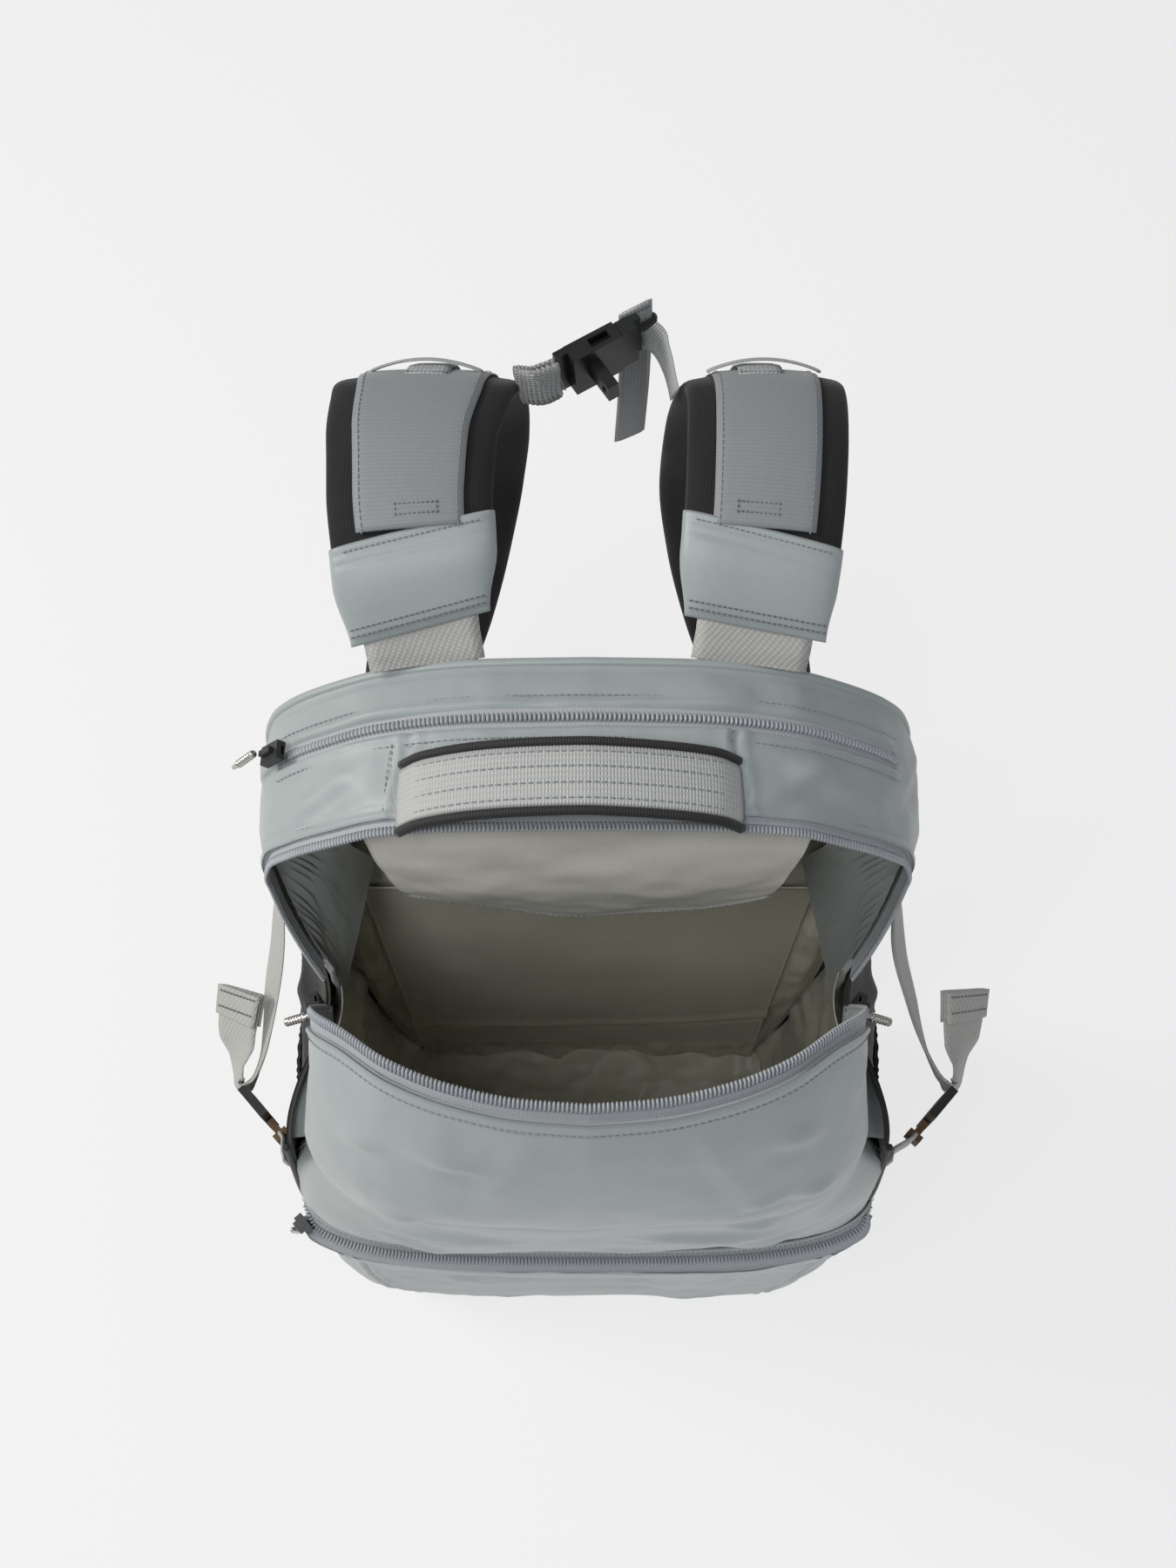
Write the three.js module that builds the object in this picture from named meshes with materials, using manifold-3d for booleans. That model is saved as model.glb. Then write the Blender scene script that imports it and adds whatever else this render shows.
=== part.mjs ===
import * as THREE from 'three';
import { mergeVertices } from 'three/addons/utils/BufferGeometryUtils.js';
import Module from 'manifold-3d';

// Daypack, standing on its base with the main flap folded open.
// Millimetres. X runs to the wearer's left-right, +Y is towards the wearer's back, +Z is up.

// ---- driving dimensions ----
const BAG_BACK_Y = 96;          // outer face of the rear edge of the shell
const SHELL = 2.6;              // thickness of the coated fabric with its lining
const SEAM = 0.5;               // gap between two panels at a seam
const WEB = 1.7;                // thickness of webbing
const TAPE = 1.4;               // thickness of zip tape
const TAPE_W = 8;               // width of one half of a zip tape
const COIL = 2.8;               // zip coil
const HINGE_Y = 0;              // fold line of the open flap
const HINGE_Z = 350;
const FLAP_LOW = -13;           // degrees below the fold line where the flap ends
const STRAP_W = 66;             // padded shoulder strap
const STRAP_T = 9;
const ANCHOR_W = 46;            // webbing at the top of a shoulder strap
const HANDLE_X0 = -71;
const HANDLE_X1 = 57;
const HANDLE_Y = 38;
const HANDLE_W = 24;
const SIDE_WEB_W = 25;          // compression strap

const root = new THREE.Group();
root.name = 'daypack';
const wasm = await Module();
wasm.setup();
const { Manifold, Mesh: SolidMesh } = wasm;

// ---- small vector helpers ----
const add = (a, b, k = 1) => [a[0] + b[0] * k, a[1] + b[1] * k, a[2] + b[2] * k];
const sub = (a, b) => [a[0] - b[0], a[1] - b[1], a[2] - b[2]];
const mul = (a, k) => [a[0] * k, a[1] * k, a[2] * k];
const dot = (a, b) => a[0] * b[0] + a[1] * b[1] + a[2] * b[2];
const cross = (a, b) => [a[1] * b[2] - a[2] * b[1], a[2] * b[0] - a[0] * b[2], a[0] * b[1] - a[1] * b[0]];
const unit = (a) => mul(a, 1 / Math.hypot(...a));
const mix = (a, b, t) => a + (b - a) * t;
const mix3 = (a, b, t) => [mix(a[0], b[0], t), mix(a[1], b[1], t), mix(a[2], b[2], t)];
const clamp01 = (t) => Math.max(0, Math.min(1, t));
const smooth = (t) => { const c = clamp01(t); return c * c * (3 - 2 * c); };
const rad = (deg) => deg * Math.PI / 180;
const range = (a, b, n) => Array.from({ length: n + 1 }, (_, i) => a + (b - a) * i / n);

// Smooth curve through a table of values (Catmull-Rom, clipped to be monotone).
function table(xs, ys) {
  const n = xs.length;
  const slope = ys.map((_, i) => {
    if (i === 0 || i === n - 1) return 0;
    const a = (ys[i] - ys[i - 1]) / (xs[i] - xs[i - 1]);
    const b = (ys[i + 1] - ys[i]) / (xs[i + 1] - xs[i]);
    return a * b <= 0 ? 0 : 2 * a * b / (a + b);
  });
  slope[0] = (ys[1] - ys[0]) / (xs[1] - xs[0]);
  slope[n - 1] = (ys[n - 1] - ys[n - 2]) / (xs[n - 1] - xs[n - 2]);
  return (x) => {
    if (x <= xs[0]) return ys[0];
    if (x >= xs[n - 1]) return ys[n - 1];
    let i = 0;
    while (x > xs[i + 1]) i += 1;
    const h = xs[i + 1] - xs[i];
    const t = (x - xs[i]) / h;
    const t2 = t * t;
    const t3 = t2 * t;
    return (2 * t3 - 3 * t2 + 1) * ys[i] + (t3 - 2 * t2 + t) * h * slope[i]
      + (-2 * t3 + 3 * t2) * ys[i + 1] + (t3 - t2) * h * slope[i + 1];
  };
}
const curve = (ks, rows) => {
  const f = [0, 1, 2].map((c) => table(ks, rows.map((r) => r[c])));
  return (k) => [f[0](k), f[1](k), f[2](k)];
};
const flip = (p) => [-p[0], p[1], p[2]];

// ---- mesh builders ----
// Colour, roughness and metalness of each kind of piece, found by the start of its name.
const LOOKS = [
  [/^(side_panel|base_panel)/, 0x202220, 0.75, 0],
  [/^bottle_pocket/, 0x1b1d1c, 0.82, 0],
  [/^back_panel/, 0x1a1c1d, 0.85, 0],
  [/^frame_sheet/, 0x303234, 0.6, 0],
  [/^(laptop_divider|inner_sleeve|front_facing)/, 0x6d6b60, 0.45, 0],
  [/^inner_apron/, 0xa9a69e, 0.45, 0],
  [/_zip_.*tape|_zip_tape/, 0x9a9ea1, 0.6, 0],
  [/^grab_handle_webbing/, 0xa9a9a9, 0.6, 0],
  [/^grab_handle_binding/, 0x2b2b2a, 0.7, 0],
  [/^strap_foam/, 0x121214, 0.85, 0],
  [/^strap_facing/, 0x83878a, 0.6, 0],
  [/^strap_anchor_webbing/, 0xaaaaaa, 0.62, 0],
  [/^(compression_webbing|compression_anchor_tab|lower_webbing)/, 0x8a8b87, 0.62, 0],
  [/^(daisy_webbing|sternum_webbing|sternum_tail)/, 0x86898b, 0.6, 0],
  [/^sternum_elastic/, 0x8f9294, 0.62, 0],
  [/^(strap_ladder_lock|compression_buckle|sternum_buckle)/, 0x141516, 0.38, 0],
  [/^compression_hook/, 0x4a4038, 0.38, 0.9],
  [/_slider/, 0x2a2b2c, 0.42, 0.6],
  [/_pull/, 0xb9bcbd, 0.28, 1],
  [/./, 0x98a2a5, 0.5, 0]];
function lookOf(name) {
  const [, color, roughness, metalness] = LOOKS.find(([pattern]) => pattern.test(name));
  return new THREE.MeshStandardMaterial({ color, roughness, metalness });
}
function keep(name, pos, idx, parent = root) {
  let vol = 0;
  for (let i = 0; i < idx.length; i += 3) vol += dot(pos[idx[i]], cross(pos[idx[i + 1]], pos[idx[i + 2]]));
  const order = vol < 0 ? idx.map((_, i) => idx[i - (i % 3) + [0, 2, 1][i % 3]]) : idx;
  const g = new THREE.BufferGeometry();
  g.setAttribute('position', new THREE.Float32BufferAttribute(pos.flat(), 3));
  g.setIndex(order);
  g.computeVertexNormals();
  const m = new THREE.Mesh(g, lookOf(name));
  m.name = name;
  parent.add(m);
  return m;
}
function keepSolid(name, solid) {
  const m = solid.getMesh();
  const pos = [];
  for (let i = 0; i < m.vertProperties.length; i += m.numProp) {
    pos.push([m.vertProperties[i], m.vertProperties[i + 1], m.vertProperties[i + 2]]);
  }
  return keep(name, pos, Array.from(m.triVerts));
}

// A panel of cloth: outer face f(u, v), and an inner face one thickness inside it.
function sheet(name, f, us, vs, thick = SHELL, inward = null) {
  const e = 1e-3;
  const u0 = Math.min(...us);
  const u1 = Math.max(...us);
  const v0 = Math.min(...vs);
  const v1 = Math.max(...vs);
  const normal = (u, v) => {
    const a = sub(f(Math.min(u + e * (u1 - u0), u1), v), f(Math.max(u - e * (u1 - u0), u0), v));
    const b = sub(f(u, Math.min(v + e * (v1 - v0), v1)), f(u, Math.max(v - e * (v1 - v0), v0)));
    return unit(cross(a, b));
  };
  const outer = [];
  const inner = [];
  us.forEach((u) => vs.forEach((v) => {
    const p = f(u, v);
    let n = normal(u, v);
    const aim = inward ? sub(inward, p) : [-p[0], -p[1], 0];
    if (dot(n, aim) > 0) n = mul(n, -1);
    outer.push(p);
    inner.push(add(p, n, -(typeof thick === 'function' ? thick(u, v) : thick)));
  }));
  const nv = vs.length;
  const N = outer.length;
  const pos = outer.concat(inner);
  const idx = [];
  for (let i = 0; i < us.length - 1; i += 1) {
    for (let j = 0; j < nv - 1; j += 1) {
      const a = i * nv + j;
      const b = a + nv;
      idx.push(a, b, b + 1, a, b + 1, a + 1);
      idx.push(N + a, N + b + 1, N + b, N + a, N + a + 1, N + b + 1);
    }
  }
  const rim = [];
  for (let i = 0; i < us.length - 1; i += 1) rim.push([i * nv, (i + 1) * nv]);
  for (let j = 0; j < nv - 1; j += 1) rim.push([(us.length - 1) * nv + j, (us.length - 1) * nv + j + 1]);
  for (let i = us.length - 1; i > 0; i -= 1) rim.push([i * nv + nv - 1, (i - 1) * nv + nv - 1]);
  for (let j = nv - 1; j > 0; j -= 1) rim.push([j, j - 1]);
  rim.forEach(([a, b]) => idx.push(b, a, N + a, b, N + a, N + b));
  return keep(name, pos, idx);
}

// A strip that follows a path. The section is drawn in (width, normal) coordinates.
function strip(name, path, section, hint) {
  const frames = path.map((p, i) => {
    const a = path[Math.max(0, i - 1)];
    const b = path[Math.min(path.length - 1, i + 1)];
    const t = unit(sub(b, a));
    const h = typeof hint === 'function' ? hint(i, p, t) : hint;
    const w = unit(add(h, t, -dot(h, t)));
    return { p, w, n: cross(t, w), i };
  });
  const first = typeof section === 'function' ? section(0) : section;
  const turned = THREE.ShapeUtils.area(first.map(([a, b]) => new THREE.Vector2(a, b))) < 0;
  const drawnAt = (k) => {
    const s = typeof section === 'function' ? section(k) : section;
    return turned ? s.slice().reverse() : s;
  };
  const pos = [];
  frames.forEach(({ p, w, n, i }) => {
    const s = drawnAt(i / (path.length - 1));
    s.forEach(([a, b]) => pos.push(add(add(p, w, a), n, b)));
  });
  const shape = drawnAt(0);
  const k = shape.length;
  const idx = [];
  for (let i = 0; i < path.length - 1; i += 1) {
    for (let j = 0; j < k; j += 1) {
      const a = i * k + j;
      const b = i * k + (j + 1) % k;
      idx.push(a, b, b + k, a, b + k, a + k);
    }
  }
  const tri = THREE.ShapeUtils.triangulateShape(shape.map(([a, b]) => new THREE.Vector2(a, b)), []);
  const last = (path.length - 1) * k;
  tri.forEach(([a, b, c]) => idx.push(a, c, b, last + a, last + b, last + c));
  return keep(name, pos, idx);
}
const flat = (w, t) => [[-w / 2, -t / 2], [w / 2, -t / 2], [w / 2, t / 2], [-w / 2, t / 2]];
const padSection = (w, t, lift = 0) => {
  const pts = [];
  const n = 12;
  for (let i = 0; i < n; i += 1) {
    const a = (i + 0.5) / n * 2 * Math.PI;
    const c = Math.cos(a);
    const s = Math.sin(a);
    pts.push([w / 2 * Math.sign(c) * Math.abs(c) ** 0.35, lift + t / 2 * Math.sign(s) * Math.abs(s) ** 0.8]);
  }
  return pts;
};

// An outline in two coordinates pushed through a third.
function slab(name, drawn, place, d0, d1) {
  const area = THREE.ShapeUtils.area(drawn.map(([a, b]) => new THREE.Vector2(a, b)));
  const outline = area > 0 ? drawn : drawn.slice().reverse();
  const n = outline.length;
  const pos = outline.map(([a, b]) => place(a, b, d0)).concat(outline.map(([a, b]) => place(a, b, d1)));
  const tri = THREE.ShapeUtils.triangulateShape(outline.map(([a, b]) => new THREE.Vector2(a, b)), []);
  const idx = [];
  tri.forEach(([a, b, c]) => idx.push(a, c, b, n + a, n + b, n + c));
  for (let i = 0; i < n; i += 1) {
    const j = (i + 1) % n;
    idx.push(i, j, n + j, i, n + j, n + i);
  }
  return keep(name, pos, idx);
}
function solidOf(geometry) {
  geometry.deleteAttribute('normal');
  geometry.deleteAttribute('uv');
  const g = mergeVertices(geometry, 1e-4);
  return new Manifold(new SolidMesh({
    numProp: 3,
    vertProperties: new Float32Array(g.attributes.position.array),
    triVerts: new Uint32Array(g.index.array),
  }));
}
const box = (sx, sy, sz, cx = 0, cy = 0, cz = 0) => solidOf(new THREE.BoxGeometry(sx, sy, sz).translate(cx, cy, cz));

// Put a solid drawn along local X (length), Y (width), Z (thickness) on a place and three directions.
function setOn(solid, origin, ex, ey) {
  const x = unit(ex);
  const y = unit(add(ey, x, -dot(ey, x)));
  const z = cross(x, y);
  return solid.transform([...x, 0, ...y, 0, ...z, 0, ...origin, 1]);
}

// ---- body of the bag: section at each height ----
const halfFront = table([0, 8, 30, 110, 200, 250, 300, 350], [116, 121, 128, 138, 143, 141, 137, 133]);
const halfBack = table([0, 8, 30, 110, 200, 300, 350, 372, 396, 421],
  [116, 121, 128, 138, 143, 142, 141, 141, 140, 137]);
const frontMid = table([0, 8, 30, 110, 190, 215, 250, 290, 331, 350],
  [-82, -85, -87, -88, -87.5, -90, -96, -102, -106, -107]);
const frontSide = table([0, 30, 110, 200, 300, 350], [-64, -66, -62, -56, -47, -41]);
// Plan corners are tight at the base and rounder towards the top.
const corner = table([0, 60, 200, 300, 350], [5.2, 4.4, 3.3, 2.7, 2.7]);

// c = 0 at the middle of the front, 0.5 at the front corner, 1 at the back edge.
function wall(c, z, out = 0) {
  const side = Math.sign(c) || 1;
  const k = Math.abs(c);
  const hf = halfFront(z) + out;
  const ys = frontSide(z);
  const ym = frontMid(z) - out;
  let x;
  let y;
  if (k <= 0.5) {
    const q = k * Math.PI;
    x = hf * Math.sin(q) ** (2 / corner(z));
    y = ys + (ym - ys) * Math.max(0, Math.cos(q)) ** (2 / corner(z));
  } else {
    const t = (k - 0.5) * 2;
    y = mix(ys, BAG_BACK_Y, t);
    x = mix(hf, halfBack(z) + out, smooth(t));
  }
  const pinch = 17 * Math.exp(-(((y - 4) / 34) ** 2)) * smooth((z - 265) / 80);
  return [side * (x - pinch), y, z];
}

// Line of the rear half of the main zip, from the middle of the top down to the slider.
const zipKeys = [0, 0.12, 0.25, 0.36, 0.46, 0.55, 0.65, 0.76, 0.88, 1];
const zipLine = curve(zipKeys, [
  [0, 22, 488], [40, 22.5, 486], [77, 24, 478], [100, 25, 464], [118, 26, 450],
  [129, 27, 436], [133, 27, 418], [131, 22, 396], [125, 13, 372], [117, 4, 352]]);
const archLine = curve(zipKeys, [
  [0, BAG_BACK_Y, 484], [40, BAG_BACK_Y, 482.5], [79, BAG_BACK_Y, 475], [104, BAG_BACK_Y, 463],
  [122, BAG_BACK_Y, 450], [132, BAG_BACK_Y, 437], [138, BAG_BACK_Y, 418], [140.5, BAG_BACK_Y, 396],
  [141, BAG_BACK_Y, 372], [141, BAG_BACK_Y, 352]]);
const sided = (line, p) => (p < 0 ? flip(line(-p)) : line(p));
const rearDir = (p) => unit(sub(sided(archLine, p), sided(zipLine, p)));
// Point of the rear shell: p along the arch, d millimetres behind the zip line (or on to the back edge).
function shell(p, y) {
  const a = sided(zipLine, p);
  const b = sided(archLine, p);
  const t = (y - a[1]) / (b[1] - a[1]);
  const m = mix3(a, b, t);
  const swell = 3.2 * Math.sin(Math.PI * clamp01(t));
  const out = unit([m[0] * 0.9, 0, Math.max(0, m[2] - 400)]);
  return add(m, out, swell);
}
const tapeEndY = (p) => sided(zipLine, p)[1] + TAPE_W + SEAM;

// ---- panels ----
const Z0 = 4.6;
const zStations = [Z0, 9, 16, 28, 50, 85, 125, 165, 195, 215, 240, 270, 300, 322];
const lowTop = 327;
sheet('front_panel_lower', (c, v) => wall(c, mix(Z0, lowTop, v)), range(-0.43, 0.43, 18),
  zStations.map((z) => (z - Z0) / (322 - Z0)));

const pocketZipZ = (x) => 196 + 24 * (x / 143) ** 2;
const POCKET_OUT = 4.6;
const pocketTop = (c) => pocketZipZ(wall(c, 205)[0]) - TAPE_W - 1.2;
sheet('front_pocket_panel', (c, v) => {
  const z = mix(7, pocketTop(c), v);
  const puff = 3.6 * Math.sin(Math.PI * v) * Math.cos(c * 2.6) ** 2;
  return wall(c, z, mix(POCKET_OUT, POCKET_OUT + puff, 1));
}, range(-0.40, 0.40, 16), [0, 0.04, 0.1, 0.2, 0.35, 0.5, 0.65, 0.8, 0.92, 1], 1.6);

// Side panels stop short of the slider and of the flap.
for (const [side, sgn] of [['left', -1], ['right', 1]]) {
  const topAt = (y) => {
    if (y < 2) return 338 - 0.05 * Math.max(0, -y);
    return mix(338, 350.8, smooth((y - 12) / 10));
  };
  const cs = [0.4355, 0.46, 0.5, 0.56, 0.63, 0.68, 0.72, 0.76, 0.8, 0.86, 0.93, 1].map((c) => c * sgn);
  sheet(`side_panel_${side}`, (c, v) => {
    const y = wall(c, 300)[1];
    return wall(c, mix(Z0, topAt(y), v));
  }, cs, [0, 0.013, 0.034, 0.07, 0.14, 0.25, 0.38, 0.5, 0.62, 0.72, 0.8, 0.87, 0.93, 1]);
}

// Rear shell: shoulders, handle panel, rear edge.
const laptopY = 66;
const pOfX = (x) => {
  let lo = 0;
  let hi = 0.5;
  for (let i = 0; i < 40; i += 1) {
    const m = (lo + hi) / 2;
    if (zipLine(m)[0] < Math.abs(x)) lo = m; else hi = m;
  }
  return Math.sign(x) * lo;
};
const P_HANDLE0 = pOfX(HANDLE_X0 - 2);
const P_HANDLE1 = pOfX(HANDLE_X1 + 2);
const LAPTOP_END = 0.475;
const CENTRE = [0, 60, 380];
sheet('handle_panel', (p, v) => shell(p, mix(tapeEndY(p), laptopY - SEAM, v)),
  range(P_HANDLE0 + 0.001, P_HANDLE1 - 0.001, 10), range(0, 1, 3), SHELL, CENTRE);
const shoulderEnd = (p) => mix(laptopY - SEAM, laptopY + TAPE_W * 1 - 0.02, smooth((Math.abs(p) - LAPTOP_END - 0.012) / 0.012));
for (const [side, sgn, p0] of [['left', -1, Math.abs(P_HANDLE0)], ['right', 1, P_HANDLE1]]) {
  const ps = [p0 + 0.002, 0.28, 0.33, 0.38, 0.42, 0.46, LAPTOP_END + 0.012, LAPTOP_END + 0.024, 0.55, 0.6, 0.66, 0.73, 0.8, 0.87, 0.93, 0.975, 0.998];
  sheet(`shoulder_panel_${side}`, (p, v) => shell(sgn * p, mix(tapeEndY(sgn * p), shoulderEnd(p), v)),
    ps, range(0, 1, 5), SHELL, CENTRE);
}
sheet('rear_edge_panel', (p, v) => shell(p, mix(laptopY + TAPE_W + SEAM, BAG_BACK_Y, v)),
  range(-0.998, 0.998, 40), range(0, 1, 2), SHELL, CENTRE);
const stationsBy = (a, b, n) => range(a, b, n);
const zipRows = (ps, place, dir, name, bead = 1) => strip(name, ps.map(place), [
  [-COIL / 2, -COIL / 2 * bead], [COIL / 2, -COIL / 2 * bead], [COIL / 2, -TAPE / 2], [TAPE_W - COIL / 2 - 0.1, -TAPE / 2],
  [TAPE_W - COIL / 2 - 0.1, TAPE / 2], [COIL / 2, TAPE / 2], [COIL / 2, COIL / 2 * bead], [-COIL / 2, COIL / 2 * bead]],
(i) => dir(ps[i]));
const mainPs = stationsBy(-0.985, 0.985, 56);
zipRows(mainPs, (p) => {
  const q = sided(zipLine, p);
  const inward = unit([-q[0] * 0.9, 0, Math.min(0, 400 - q[2])]);
  return add(add(q, inward, 1.6), rearDir(p), COIL / 2);
}, rearDir, 'main_zip_rear_tape');
{
  const ps = stationsBy(-LAPTOP_END, LAPTOP_END, 34);
  strip('laptop_zip_tape', ps.map((p) => {
    const q = shell(p, laptopY + TAPE_W / 2);
    const inward = unit([-q[0] * 0.9, 0, Math.min(0, 400 - q[2])]);
    return add(q, inward, 1.3);
  }), [[-3.9, -0.7], [3.9, -0.7], [3.9, 0.7], [1.6, 0.7], [1.6, 1.6], [-1.6, 1.6], [-1.6, 0.7], [-3.9, 0.7]],
  [0, 1, 0]);
}

// Base, back padding, frame sheet and the divider of the laptop sleeve.
function ringAt(z, inset, yBack) {
  const pts = [];
  const cs = range(-0.5, 0.5, 26);
  cs.forEach((c) => { const q = wall(c, z); pts.push([q[0] * (1 - inset / 125), q[1] + inset * (q[1] < -30 ? 1 : 0)]); });
  const h = halfBack(z) - inset;
  pts.push([h, yBack - 14], [h - 4, yBack - 4], [h - 14, yBack], [-h + 14, yBack], [-h + 4, yBack - 4], [-h, yBack - 14]);
  return pts;
}
{
  const lower = ringAt(1, 2, 95);
  const upper = ringAt(3.4, -0.2, 95.5);
  const n = lower.length;
  const pos = lower.map(([a, b]) => [a, b, 0]).concat(upper.map(([a, b]) => [a, b, 4]));
  const tri = THREE.ShapeUtils.triangulateShape(lower.map(([a, b]) => new THREE.Vector2(a, b)), []);
  const idx = [];
  tri.forEach(([a, b, c]) => idx.push(a, c, b, n + a, n + b, n + c));
  for (let i = 0; i < n; i += 1) {
    const j = (i + 1) % n;
    idx.push(i, j, n + j, i, n + j, n + i);
  }
  keep('base_panel', pos, idx);
}
const archOutline = (inset, zLow, half) => {
  const pts = [];
  range(-0.97, 0.97, 26).forEach((p) => {
    const q = sided(archLine, p);
    const inward = unit([-q[0], Math.min(0, 330 - q[2])]);
    pts.push([q[0] + inward[0] * inset, q[2] + inward[1] * inset]);
  });
  const low = [[0.99, 300], [0.99, 220], [0.99, 140], [0.985, 60], [0.975, zLow + 14], [0.93, zLow]];
  const right = low.map(([k, z]) => [(half(z) - inset) * k + (z < zLow + 20 ? -4 : 0), z]);
  const left = right.map(([x, z]) => [-x, z]).reverse();
  return pts.concat(right, left);
};
slab('back_panel', archOutline(SHELL + 2, 9, halfBack), (a, b, d) => [a, d, b], 88, BAG_BACK_Y + 1);
slab('frame_sheet', archOutline(16, 18, halfBack), (a, b, d) => [a, d, b], 84.2, 85.4);
slab('laptop_divider', archOutline(9, 9, halfBack), (a, b, d) => [a, d, b], 68, 70.4);

// Lining pieces that hang or stand in the main compartment.
sheet('inner_apron', (u, v) => {
  const x = u * mix(86, 66, v);
  const bow = 15 * Math.sin(Math.PI * v * 0.85) * (1 - 0.5 * u * u);
  return [x, 34.5 - bow - 6 * v, mix(479 - 9 * u * u, 404 + 10 * u * u, v)];
}, range(-1, 1, 12), range(0, 1, 7), 1.6, [0, 60, 430]);
sheet('inner_sleeve', (u, v) => {
  const x = u * 108;
  const z = mix(52, 330, v);
  return [x, 60.5 - 5 * Math.sin(Math.PI * v) * (1 - u * u) - (v > 0.98 ? 1 : 0), z];
}, range(-1, 1, 10), range(0, 1, 7), 1.8, [0, 90, 200]);

// ---- the flap: profile in polar coordinates about the fold line ----
const sKeys = [0, 0.18, 0.36, 0.52, 0.66, 0.79, 0.9, 1];
const lowLine = curve(sKeys, [
  [0, 102, 0], [38, 101, 0], [68, 98.5, 0], [94, 92, 0], [110, 80, 0], [119, 60, 0], [119.5, 36, 0], [114, 13.5, 0]]);
const edgeLine = curve(sKeys, [
  [0, -74.5, 118], [25, -72.5, 117.6], [50, -67, 117.8], [73, -57.5, 116.5], [91, -44, 108],
  [105, -33, 94], [112.5, -20, 56], [114, -6.5, 12.5]]);
const midAng = table([-13, 5, 12, 20, 30, 40, 50, 57.7], [102, 102, 104.5, 108.5, 114.5, 122.5, 133, 139.6]);
function flapPoint(s, t, trim = 0) {
  const k = Math.abs(s);
  const low = lowLine(k);
  const e = edgeLine(k);
  const rE = Math.hypot(e[1], e[2]);
  const aE = Math.atan2(e[2], -e[1]) * 180 / Math.PI - trim / rE * 180 / Math.PI;
  const a = mix(FLAP_LOW, aE, t);
  const w = smooth((a - 5) / (aE - 5)) * 0.85 + 0.15 * clamp01((a - 5) / (aE - 5));
  const midShare = (midAng(mix(-13, 57.7, clamp01((a + 13) / (aE + 13)))) - 102) / (139.6 - 102);
  const r = mix(low[1], rE, a <= 5 ? 0 : midShare);
  const x = mix(low[0], e[0], a <= 5 ? 0 : w);
  const y = -r * Math.cos(rad(a));
  const z = r * Math.sin(rad(a));
  return [Math.sign(s || 1) * x, HINGE_Y + y, HINGE_Z + z];
}
const flapS = [-1, -0.96, -0.91, -0.86, -0.8, -0.73, -0.66, -0.58, -0.48, -0.36, -0.24, -0.12, 0,
  0.12, 0.24, 0.36, 0.48, 0.58, 0.66, 0.73, 0.8, 0.86, 0.91, 0.96, 1];
const trimAt = (s) => (TAPE_W + SEAM + 1) * clamp01((1 - Math.abs(s)) / 0.03 + 0.1);
sheet('front_flap', (s, t) => flapPoint(s, t, trimAt(s)), flapS,
  [0, 0.12, 0.26, 0.36, 0.46, 0.56, 0.66, 0.76, 0.86, 0.94, 1], 2.4, [0, 40, 300]);
{
  const ss = [];
  for (let i = -27; i <= 27; i += 1) ss.push(i / 27 * 0.965);
  const along = (s) => unit(sub(flapPoint(s, 1, 0), flapPoint(s, 0.97, 0)));
  strip('main_zip_front_tape', ss.map((s) => {
    const p = flapPoint(s, 1, 0);
    const q = sub([0, 40, 340], p);
    const d = along(s);
    const inn = unit(add(q, d, -dot(q, d)));
    return add(add(p, inn, 1.5), d, -COIL / 2);
  }), [
    [COIL / 2, COIL / 2], [-COIL / 2, COIL / 2], [-COIL / 2, TAPE / 2], [-TAPE_W + 1.4, TAPE / 2],
    [-TAPE_W + 1.4, -TAPE / 2], [-COIL / 2, -TAPE / 2], [-COIL / 2, -COIL / 2], [COIL / 2, -COIL / 2]],
  (i) => along(ss[i]));
}
// Fixed facing that the flap slides over as it closes.
sheet('front_facing', (s, v) => {
  const low = lowLine(Math.abs(s));
  const ahead = lowLine(Math.min(1, Math.abs(s) + 0.01));
  const back = lowLine(Math.max(0, Math.abs(s) - 0.01));
  const d = [ahead[0] - back[0], ahead[1] - back[1]];
  const L = Math.hypot(...d);
  const inX = d[1] / L * 5;
  const inR = -d[0] / L * 5;
  const r = low[1] + inR;
  const a = rad(mix(-27, 24, v));
  return [Math.sign(s || 1) * (low[0] + inX), -r * Math.cos(a), HINGE_Z + r * Math.sin(a)];
}, [-0.73, -0.66, -0.57, -0.48, -0.36, -0.24, -0.12, 0, 0.12, 0.24, 0.36, 0.48, 0.57, 0.66, 0.73], range(0, 1, 6), 1.6, [0, 0, 300]);

// ---- front pocket zip ----
{
  const cs = range(-0.44, 0.44, 34);
  const pts = cs.map((c) => {
    const z = pocketZipZ(wall(c, 205)[0]);
    return wall(c, z, 2.6);
  });
  strip('pocket_zip_tape', pts, [[-7.6, -0.7], [7.6, -0.7], [7.6, 0.7], [1.5, 0.7], [1.5, 1.7], [-1.5, 1.7], [-1.5, 0.7], [-7.6, 0.7]],
    [0, 0, 1]);
}

// ---- grab handle ----
const handlePath = (dy) => range(0, 1, 16).map((t) => {
  const x = mix(HANDLE_X0, HANDLE_X1, t);
  const rise = 3.2 + 10 * Math.min(1, Math.sin(Math.PI * t) ** 0.7);
  const p = shell(pOfX(Math.abs(x) < 0.5 ? 0.5 : x), HANDLE_Y + dy);
  return [x, HANDLE_Y + dy, p[2] + rise];
});
strip('grab_handle_webbing', handlePath(0), flat(HANDLE_W, 2), [0, 1, 0]);
strip('grab_handle_binding_rear', handlePath(0).map((p) => add(p, [0, HANDLE_W / 2 + 1.9, 0])), flat(3, 3.6), [0, 1, 0]);
strip('grab_handle_binding_front', handlePath(0).map((p) => add(p, [0, -HANDLE_W / 2 - 1.9, 0])), flat(3, 3.6), [0, 1, 0]);

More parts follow.
